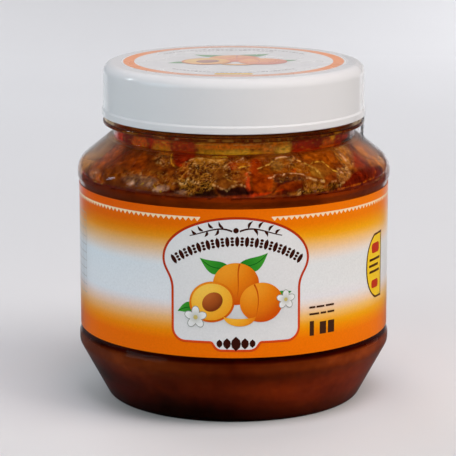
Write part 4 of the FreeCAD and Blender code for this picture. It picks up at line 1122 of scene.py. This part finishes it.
def draw_fruits(pr, cx, cy, k, layer, simple=False):
    """Two whole fruits, a half with its stone, a slice and leaves."""
    g1, g2, g3 = lin(20, 125, 30), lin(70, 165, 50), lin(10, 85, 25)
    hi, base, lo = lin(252, 176, 50), lin(238, 132, 18), lin(214, 84, 8)

    def leaf(x0, y0, x1, y1, w, l, bend=0.15):
        s, mid = leaf_shape(cx + k * x0, cy + k * y0, cx + k * x1, cy + k * y1, k * w, bend=bend)
        c0 = np.array([cx + k * x0, cy + k * y0])
        ln = math.hypot(k * (x1 - x0), k * (y1 - y0))

        def col(v):
            t = np.clip(np.hypot(v[:, 0] - c0[0], v[:, 1] - c0[1]) / ln, 0, 1)[:, None]
            return np.array(g1) * (1 - t) + np.array(g2) * t

        pr.add(fill([s], 0.9), l, col)
        if not simple:
            pr.add(ribbon(mid[1:-1], k * 0.22), l + 1, g3)

    leaf(-2.0, 9.0, -11.5, 12.0, 5.0, layer)
    leaf(1.0, 9.5, 10.5, 13.6, 5.2, layer, -0.15)
    leaf(11.5, -4.0, 18.5, 0.5, 4.2, layer, 0.12)
    leaf(-12.0, -4.5, -19.0, -6.0, 4.0, layer, -0.1)
    # whole fruit at the back in the middle
    pr.add(fill([ellipse(cx + k * 0.2, cy + k * 3.6, k * 7.4, k * 6.9)], 0.9), layer + 2,
           fruit_shade(cx + k * 0.2, cy + k * 3.6, k * 7.2, hi, base, lo))
    pr.add(ribbon(bezier([(cx + k * 1.4, cy + k * 10.2), (cx + k * 0.2, cy + k * 7), (cx + k * 1.6, cy + k * 3), (cx + k * 0.4, cy - k * 1)], 16),
                  lambda t: k * 0.5 * (1 - t) + 0.05), layer + 3, lin(206, 86, 10))
    # whole fruit on the right
    pr.add(fill([ellipse(cx + k * 8.4, cy - k * 2.6, k * 7.0, k * 6.5)], 0.9), layer + 4,
           fruit_shade(cx + k * 8.4, cy - k * 2.6, k * 6.8, hi, base, lo))
    pr.add(ribbon(bezier([(cx + k * 6.0, cy + k * 3.4), (cx + k * 7.6, cy + k * 1), (cx + k * 7.8, cy - k * 3), (cx + k * 6.6, cy - k * 7)], 16),
                  lambda t: k * 0.5 * (1 - t) + 0.05), layer + 5, lin(204, 82, 10))
    # half on the left, cut side to the front
    hx, hy = cx - k * 7.6, cy - k * 2.4
    pr.add(fill([ellipse(hx, hy, k * 7.4, k * 6.7, 0.25)], 0.9), layer + 6,
           fruit_shade(hx, hy, k * 7.2, lin(250, 160, 40), lin(232, 120, 16), lin(214, 92, 10)))
    pr.add(fill([ellipse(hx, hy, k * 6.7, k * 6.0, 0.25)], 0.9), layer + 7,
           fruit_shade(hx, hy, k * 6.6, lin(255, 214, 96), lin(252, 190, 60), lin(246, 164, 36)))
    pr.add(fill([ellipse(hx + k * 0.2, hy, k * 3.6, k * 2.9, 0.7)], 0.8), layer + 8,
           fruit_shade(hx, hy, k * 3.4, lin(206, 116, 52), lin(172, 84, 32), lin(126, 54, 20)))
    # slice in front
    t = np.linspace(0, math.pi, 24)
    sx, sy = cx + k * 1.4, cy - k * 7.0
    arc1 = np.stack([sx - k * 5.2 * np.cos(t), sy - k * 3.4 * np.sin(t)], -1)
    arc2 = np.stack([sx + k * 5.2 * np.cos(t), sy + k * 0.9 * np.sin(t) * -1], -1)
    pr.add(fill([np.concatenate([arc1, arc2[1:-1]])], 0.8), layer + 9,
           fruit_shade(sx, sy - k * 1.5, k * 4, lin(255, 206, 84), lin(250, 176, 44), lin(236, 132, 20)))


# --- the white field with its outline
CX = 0.8


def panel_loop():
    top_, wide, r_w = 75.6, 60.8, 25.7
    pts = []
    for t in np.linspace(0, math.pi / 2, 30):  # right side, from the top down to the widest place
        pts.append((CX + r_w * math.sin(t), wide + (top_ - wide) * math.cos(t)))
    right = bezier([(CX + r_w, wide), (CX + r_w, wide - 4.0), (CX + 22.6, 55.5), (CX + 22.35, 50.6)], 14)
    pts += [tuple(p) for p in right[1:]]
    pts += [(CX + 22.35, 36.4)]
    for t in np.linspace(0, math.pi / 2, 10)[1:]:
        pts.append((CX + 22.35 - 4.5 + 4.5 * math.cos(t), 36.4 - 4.5 * math.sin(t)))
    tab = bezier([(CX + 8.9, 31.9), (CX + 7.6, 31.8), (CX + 7.9, 29.0), (CX + 4.6, 28.95)], 12)
    pts += [tuple(p) for p in tab]
    half = [(x, z) for x, z in pts]
    mirrored = [(2 * CX - x, z) for x, z in half[::-1]]
    return half + mirrored[1:-1]


panel = panel_loop()
label_print = Print(on_label)
white = np.array(WHITE_L)


def panel_colour(v):
    d = np.hypot((v[:, 0] - CX) / 17.0, (v[:, 1] - 41.6) / 3.4)
    s = (0.16 * np.exp(-d ** 2))[:, None]
    return white * (1 - s)


label_print.add(fill([panel], 1.4), 0, panel_colour)
label_print.add(ribbon(panel, 0.85, closed=True, step_mm=0.8), 2,
                lambda v: np.array(lin(186, 52, 16)) + (np.array(lin(222, 74, 22)) - np.array(lin(186, 52, 16))) * smooth(60, 34, v[:, 1])[:, None])

# --- white line with teeth, all the way round
half_turn = math.pi * R_LABEL
pitch = 2 * half_turn / 172


def edge_of_panel(z):
    p = np.array(panel)
    k = (p[:, 1] > z - 0.6) & (p[:, 1] < z + 0.6)
    return np.abs(p[k, 0] - CX).max() if k.any() else 0.0


line_pts = []
for side in (-1, 1):
    start = CX + side * 12.3
    end = side * (half_turn - 0.02)
    xs = np.linspace(start, end, 160)
    a = np.stack([xs, np.full(160, 75.85)], -1)
    b = np.stack([xs, np.full(160, 75.48)], -1)
    vv = np.concatenate([a, b])
    ff = [(160 + i, 160 + i + 1, i + 1, i) if side > 0 else (i, i + 1, 160 + i + 1, 160 + i) for i in range(159)]
    label_print.add((vv, ff), 1, lin(255, 222, 176))
    n = int(abs(end - start) / pitch)
    for k in range(n):
        x = start + side * (k + 0.5) * pitch
        if abs(x) > half_turn - pitch:
            continue
        w = pitch * 0.47
        tri = np.array([(x - w, 75.5), (x + w, 75.5), (x, 74.35)])
        label_print.add((tri, [(2, 1, 0)]), 1, lin(255, 222, 176))

ink = lin(58, 20, 12)
# --- thin flourish in place of the upper words
for side in (-1, 1):
    c1 = bezier([(CX + side * 1.3, 71.0), (CX + side * 6, 73.2), (CX + side * 10, 70.6), (CX + side * 16.0, 69.2)], 24)
    label_print.add(ribbon(c1, lambda t: 0.62 - 0.3 * t), 3, ink)
    for (x, z, x2, z2) in ((4.2, 72.0, 5.9, 74.6), (7.8, 72.0, 9.6, 74.2), (6.0, 71.8, 7.4, 69.4), (11.2, 70.9, 13.2, 72.9), (9.8, 71.0, 10.9, 68.9), (13.6, 69.8, 15.4, 71.3)):
        s, _ = leaf_shape(CX + side * x, z, CX + side * x2, z2, 1.05, 12)
        label_print.add(fill([s], 0.8), 3, ink)
label_print.add(fill([ellipse(CX, 71.3, 0.95, 0.95, n=20)], 0.8), 3, ink)

# --- arched garland in place of the bold words
arc_r, arc_c = 39.3, 67.5 - 39.3
n_g = 29
for k in range(n_g):
    t = -0.6 + 1.2 * k / (n_g - 1)
    x = CX + 0.4 + arc_r * math.sin(t)
    z = arc_c + arc_r * math.cos(t)
    ca, sa = math.cos(-t), math.sin(-t)
    if k % 2 == 0:
        shape = np.array([(0, 1.9), (0.6, 1.15), (0.74, 0), (0.6, -1.15), (0, -1.9), (-0.6, -1.15), (-0.74, 0), (-0.6, 1.15)])
        s = np.stack([x + shape[:, 0] * ca - shape[:, 1] * sa, z + shape[:, 0] * sa + shape[:, 1] * ca], -1)
        label_print.add(fill([s], 0.9), 3, ink)
    else:
        for up in (-1.1, 0.0, 1.1):
            label_print.add(fill([ellipse(x - up * math.sin(-t), z + up * math.cos(-t), 0.62, 0.5, -t, n=14)], 0.8), 3, ink)
draw_fruits(label_print, CX - 0.2, 48.8, 1.07, 3)

# --- two pale blossoms
for bx_, bz_, k_ in ((-13.2, 40.6, 1.0), (18.2, 46.6, 0.85)):
    for a in range(5):
        t = math.radians(90 + 72 * a)
        px_, pz_ = bx_ + 2.15 * k_ * math.cos(t), bz_ + 2.15 * k_ * math.sin(t)
        label_print.add(fill([ellipse(px_, pz_, 1.95 * k_, 1.45 * k_, t, n=22)], 0.8), 12, lin(158, 160, 150))
        label_print.add(fill([ellipse(px_, pz_, 1.7 * k_, 1.2 * k_, t, n=22)], 0.8), 13,
                        lambda v, c_=(bx_, bz_), k=k_: np.array(lin(206, 208, 200)) + (np.array(lin(240, 240, 238)) - np.array(lin(206, 208, 200)))
                        * smooth(0.6 * k, 3.2 * k, np.hypot(v[:, 0] - c_[0], v[:, 1] - c_[1]))[:, None])
    label_print.add(fill([ellipse(bx_, bz_, 0.8 * k_, 0.8 * k_, n=16)], 0.6), 14, lin(206, 188, 110))

# --- small ornament in the tab
for dx, s, h_ in ((-5.7, 1.05, 1.5), (-3.1, 1.35, 2.0), (0, 1.7, 2.6), (3.1, 1.35, 2.0), (5.7, 1.05, 1.5)):
    shape = np.array([(0, h_), (s * 0.8, h_ * 0.5), (s, 0), (s * 0.8, -h_ * 0.5), (0, -h_), (-s * 0.8, -h_ * 0.5), (-s, 0), (-s * 0.8, h_ * 0.5)]) + (CX + dx, 31.5)
    label_print.add(fill([shape], 0.9), 3, ink)

# --- plain bars beside the field
for x0, x1, z, w in ((27.2, 29.6, 42.7, 0.7), (30.1, 33.4, 42.7, 0.7), (34.0, 37.6, 42.7, 0.7), (27.2, 31.2, 40.3, 0.7), (31.8, 34.2, 40.3, 0.7),
                     (34.8, 37.8, 40.3, 0.7), (27.4, 29.1, 35.2, 5.2), (31.5, 34.2, 35.0, 4.4), (35.0, 37.8, 35.0, 4.4)):
    label_print.add(ribbon([(x0, z), (x1, z)], w), 3, lin(70, 40, 24))

# --- plain yellow field on the right
def round_rect(cx, cy, w, h_, r, n=7):
    pts = []
    for sx, sy, a0 in ((1, 1, 0), (-1, 1, 90), (-1, -1, 180), (1, -1, 270)):
        for k in range(n):
            a = math.radians(a0 + 90 * k / (n - 1))
            pts.append((cx + sx * (w / 2 - r) + r * math.cos(a), cy + sy * (h_ / 2 - r) + r * math.sin(a)))
    return pts


def bulged(grow):
    """Straight on the right, bulging to the left."""
    r_, l_, up_, dn_ = 68.0 + grow, 55.2 - grow, 64.0 + grow, 40.1 - grow
    p_ = [(r_, dn_), (r_, up_), (61.3 - grow * 0.4, up_ - 0.2)]
    p_ += list(bezier([(61.3 - grow * 0.4, up_ - 0.2), (56.6 - grow, 61.2), (l_, 57.0), (l_, 52.1)], 14))[1:]
    p_ += list(bezier([(l_, 52.1), (l_, 47.0), (57.4 - grow, 42.6), (62.4 - grow * 0.4, dn_ + 0.2)], 14))[1:]
    return [tuple(q_) for q_ in p_]


label_print.add(fill([bulged(0.0)], 1.4), 1, lin(92, 52, 16))
label_print.add(fill([bulged(-0.75)], 1.4), 2, lin(250, 205, 40))
label_print.add(fill([round_rect(62.4, 58.6, 6.4, 3.6, 1.2)], 1.2), 3, lin(196, 52, 24))
label_print.add(fill([round_rect(62.0, 45.6, 5.6, 3.0, 1.0)], 1.2), 3, lin(196, 52, 24))
for z, x0, x1 in ((54.6, 57.6, 66.4), (52.4, 57.2, 64.8), (50.2, 57.6, 66.0)):
    label_print.add(ribbon([(x0, z), (x1, z)], 0.9), 3, lin(84, 44, 16))

# --- a thin ruled table on the left
gx0, gx1, gz0, gz1 = -86.0, -68.1, 41.0, 70.0
grey = lin(186, 182, 178)
for z in np.linspace(gz0, gz1, 11):
    label_print.add(ribbon([(gx0, z), (gx1, z)], 0.22, step_mm=1.5), 1, grey)
for x in (gx0, gx0 + 8.5, gx0 + 14.0, gx1):
    label_print.add(ribbon([(x, gz0), (x, gz1)], 0.22, step_mm=3), 1, grey)

ink_mat = print_material("label_ink", attribute="print_colour", rough=0.38, grain=0.04, haze=True)
label_print.make("label_printing", ink_mat)

# ---------------------------------------------------------------- sticker
sticker_mat = print_material("sticker_paper", colour=(0.80, 0.80, 0.79), rough=0.26, grain=0.03, gloss=0.5)
prof = rounded([(0, 121.7, 0), (40.3, 121.7, 0.04), (40.3, TOP_STICKER, 0.05), (0, TOP_STICKER, 0)], 1.0, 0.1)
v, f = lathe(prof, 256)
object_from("cap_sticker", v, f, sticker_mat, hides=("lid_sticker",))
st = Print(on_sticker)
def ring_colour_with_sheen(v):
    # the ring is painted paler towards the front and the back: a painted reflection on the sticker
    k = smooth(0.45, 1.0, np.abs(v[:, 1]) / 37.7)[:, None]
    return np.array(lin(243, 166, 122)) * (1 - k) + np.array(lin(230, 188, 168)) * k


st.add(ribbon(ellipse(0, 0, 37.7, 37.7, n=220), 3.9, closed=True, step_mm=2.0), 0, ring_colour_with_sheen)
first = len(st.c)
draw_fruits(st, 0, 1.0, 1.25, 1, simple=False)
st.c[first:] = [c_ * 0.6 + 0.4 * 0.80 for c_ in st.c[first:]]
for rr, a0, a1, n in ((31.0, 35, 145, 36), (27.5, 60, 120, 18), (29.5, 225, 315, 30)):
    for k in range(n):
        a = math.radians(a0 + (a1 - a0) * k / (n - 1))
        s = 0.75 if k % 3 else 1.05
        st.add(fill([ellipse(rr * math.cos(a), rr * math.sin(a), s * 0.8, s * 0.45, a + math.pi / 2, n=14)], 0.8), 1, lin(158, 150, 148))
st.add(fill([round_rect(0, -33.0, 13.5, 2.6, 1.2)], 1.4), 1, lin(236, 190, 60))
st_mat = print_material("sticker_ink", attribute="print_colour", rough=0.26, grain=0.03, gloss=0.5)
st.make("sticker_printing", st_mat)

# ---------------------------------------------------------------- seal strip
strip_line = rounded([
    (41.2, 121.75, 0), (47.05, 121.75, 3.5), (47.05, 105.75, 0.4), (47.52, 105.1, 0.4), (47.55, 100.6, 2.0),
    (47.6, 93.6, 2.5), (56.6, 86.2, 7.1), (56.6, 83.2, 0)], 2.0, 0.3)
st_s = np.r_[0, np.cumsum(np.linalg.norm(np.diff(strip_line, axis=0), axis=1))]
ns, na = 120, 56
ss = np.linspace(0, st_s[-1], ns)
SP = np.stack([np.interp(ss, st_s, strip_line[:, 0]), np.interp(ss, st_s, strip_line[:, 1])], -1)
ST = np.gradient(SP, axis=0)
ST /= np.linalg.norm(ST, axis=1, keepdims=True)
SN = np.stack([-ST[:, 1], ST[:, 0]], -1)  # outwards
angs = np.radians(np.linspace(90 + 2 - 17, 90 + 2 + 17, na))  # from the front round to the right
AA, SI = np.meshgrid(angs, np.arange(ns), indexing="ij")
SR, SZ = SP[SI, 0], SP[SI, 1]
pts = np.stack([SR * np.sin(AA), -SR * np.cos(AA), SZ], -1).reshape(-1, 3)
free = smooth(102.6, 101.0, SZ) * smooth(92.6, 95.5, SZ)  # where the strip hangs free across the neck
wr = (ridged(pts / np.array([3.0, 3.0, 7.0]), 3) - 0.45).reshape(SR.shape)
tiny = fbm(pts / 2.2, 3).reshape(SR.shape)
off = free * (-1.1 + wr * 1.5) + (1 - free) * np.clip(0.03 + 0.06 * tiny, 0.0, 0.10)
SR2 = SR + off * SN[SI, 0]
SZ2 = SZ + off * SN[SI, 1]
v1 = np.stack([SR2 * np.sin(AA), -SR2 * np.cos(AA), SZ2], -1)
thick = 0.05
SR3, SZ3 = SR2 + thick * SN[SI, 0], SZ2 + thick * SN[SI, 1]
v2 = np.stack([SR3 * np.sin(AA), -SR3 * np.cos(AA), SZ3], -1)
va = np.concatenate([v2.reshape(-1, 3), v1.reshape(-1, 3)])
i0 = np.arange(na * ns).reshape(na, ns)
o = na * ns
faces = []
for i in range(na - 1):
    for j in range(ns - 1):
        faces.append((i0[i, j], i0[i, j + 1], i0[i + 1, j + 1], i0[i + 1, j]))
        faces.append((o + i0[i, j], o + i0[i + 1, j], o + i0[i + 1, j + 1], o + i0[i, j + 1]))
rim = [i0[i, 0] for i in range(na)] + [i0[na - 1, j] for j in range(1, ns)] + [i0[i, ns - 1] for i in range(na - 2, -1, -1)] + [i0[0, j] for j in range(ns - 2, 0, -1)]
for a, b in zip(rim, rim[1:] + rim[:1]):
    faces.append((a, b, o + b, o + a))
object_from("seal_film", va, [tuple(int(k) for k in q) for q in faces], clear_film, hides=("seal_strip",))

# ---------------------------------------------------------------- stage
def floor_material(name, in_gloss):
    m, t, p, out = material(name)
    n = noise_node(t, 3.0, 2.0, 0.5)
    col = ramp(t, n.outputs["Fac"], [(0.3, (0.715, 0.715, 0.715)), (0.7, (0.735, 0.735, 0.735))])
    # for reflections only, the floor is darkened in front of and beside the jar, down to in_gloss of its colour:
    # painted shade in what the jar mirrors
    path = t.nodes.new("ShaderNodeLightPath")
    through = map_range(t, path.outputs["Is Transmission Ray"], 0, 1, 1.0, 0.0)
    mirrored = t.nodes.new("ShaderNodeMath")
    mirrored.operation = "MULTIPLY"
    t.links.new(path.outputs["Is Glossy Ray"], mirrored.inputs[0])
    t.links.new(through.outputs["Result"], mirrored.inputs[1])
    where = t.nodes.new("ShaderNodeSeparateXYZ")
    t.links.new(t.nodes.new("ShaderNodeTexCoord").outputs["Object"], where.inputs[0])
    aside = t.nodes.new("ShaderNodeMath")
    aside.operation = "ABSOLUTE"
    t.links.new(where.outputs["X"], aside.inputs[0])
    behind = t.nodes.new("ShaderNodeMath")
    behind.operation = "MULTIPLY_ADD"
    t.links.new(aside.outputs["Value"], behind.inputs[0])
    behind.inputs[1].default_value = -1.3
    t.links.new(where.outputs["Y"], behind.inputs[2])
    level = map_range(t, behind.outputs["Value"], -0.03, 0.04, in_gloss, 1.0)
    fac = t.nodes.new("ShaderNodeMix")
    t.links.new(mirrored.outputs["Value"], fac.inputs[0])
    fac.inputs[2].default_value = 1.0
    t.links.new(level.outputs["Result"], fac.inputs[3])
    tone = mix_colour(t, (0.0, 0.0, 0.0), col.outputs["Color"], fac.outputs[0])
    t.links.new(tone, p.inputs["Base Color"])
    p.inputs["Roughness"].default_value = 0.6
    p.inputs["Specular IOR Level"].default_value = 0.3
    return m


def sheet(name, line_, mat):
    vs = [(x, y, z) for x in (-3.5, 3.5) for y, z in line_]
    n = len(line_)
    mesh = bpy.data.meshes.new(name)
    mesh.from_pydata(vs, [], [(i, n + i, n + i + 1, i + 1) for i in range(n - 1)])
    mesh.polygons.foreach_set("use_smooth", np.ones(len(mesh.polygons), bool))
    ob = bpy.data.objects.new(name, mesh)
    bpy.context.scene.collection.objects.link(ob)
    mesh.materials.append(mat)
    return ob


flat = [(y, 0.0) for y in np.linspace(-3.0, 0.9, 14)]
curve = [(0.9 + 0.9 * math.sin(t), 0.9 - 0.9 * math.cos(t)) for t in np.linspace(0, math.pi / 2, 16)]
low_, high_ = curve[:12], curve[11:] + [(1.8, 3.0)]
floor = sheet("floor", flat, floor_material("floor_paper", 0.12))
rise = sheet("floor_rise", low_, floor_material("rise_paper", 1.0))
wall = sheet("backdrop", high_, floor_material("backdrop_paper", 1.0))


def softbox(name, azimuth, elevation, power, colour, glossy=True, size=(0.8, 0.8), distance=1.3):
    """A soft lamp. Azimuth is counted from the front, + to the right."""
    a, e = math.radians(azimuth), math.radians(elevation)
    pos = Vector((distance * math.sin(a) * math.cos(e), -distance * math.cos(a) * math.cos(e), distance * math.sin(e) + 0.06))
    l = bpy.data.lights.new(name, "AREA")
    l.shape = "RECTANGLE"
    l.size, l.size_y = size
    top_c = max(colour)
    l.energy = power * top_c
    l.color = tuple(c / top_c for c in colour)
    ob = bpy.data.objects.new(name, l)
    bpy.context.scene.collection.objects.link(ob)
    ob.matrix_world = Matrix.Translation(pos) @ (Vector((0, 0, 0.06)) - pos).to_track_quat("-Z", "Y").to_matrix().to_4x4()
    ob.visible_glossy = glossy
    ob.visible_transmission = False
    return ob


softbox("key", 30, 65, 1.0, (8.73, 7.9, 8.4), glossy=False)
softbox("side_right", 67, 40, 1.0, (7.63, 7.3, 6.7), glossy=False)
softbox("front_left", -30, 40, 1.0, (3.5, 3.6, 3.5), glossy=False)
softbox("side_left", -67, 10, 1.0, (1.8, 2.8, 3.4))
softbox("back_right", 150, 10, 1.0, (8.1, 8.1, 8.5), glossy=False)
softbox("far_left", -115, 10, 1.0, (2.1, 2.0, 2.1), glossy=False)
softbox("back_left", -150, 10, 1.0, (3.2, 3.0, 3.0), glossy=False)
softbox("back_left_high", -150, 40, 1.0, (2.8, 3.2, 3.6), glossy=False)
window = softbox("window", -104, 20, 1.0, (1.0, 1.08, 1.15), size=(0.10, 0.34))
window.visible_diffuse = False

world = bpy.data.worlds.new("world")
bpy.context.scene.world = world
world.use_nodes = True
bg = world.node_tree.nodes["Background"]
bg.inputs["Color"].default_value = (0.92, 0.93, 0.96, 1)
bg.inputs["Strength"].default_value = 0.01

# ---------------------------------------------------------------- camera
elev, dist, aim_z, yaw = math.radians(12.05), 0.8518, 0.0603, math.radians(-0.139)
C = Vector((0, -dist * math.cos(elev), aim_z + dist * math.sin(elev)))
fw = Vector((0, math.cos(elev), -math.sin(elev)))
rt = Vector((1, 0, 0))
fw2 = fw * math.cos(yaw) + rt * math.sin(yaw)
rt2 = rt * math.cos(yaw) - fw * math.sin(yaw)
up2 = rt2.cross(fw2)
cam_data = bpy.data.cameras.new("camera")
cam_data.sensor_width = 36
cam_data.lens = 36 * 2335.0 / 456
cam_data.clip_end = 20
cam = bpy.data.objects.new("camera", cam_data)
bpy.context.scene.collection.objects.link(cam)
m = Matrix((rt2, up2, -fw2)).transposed().to_4x4()
cam.matrix_world = Matrix.Translation(C) @ m
bpy.context.scene.camera = cam
bpy.context.scene.view_settings.view_transform = "Standard"
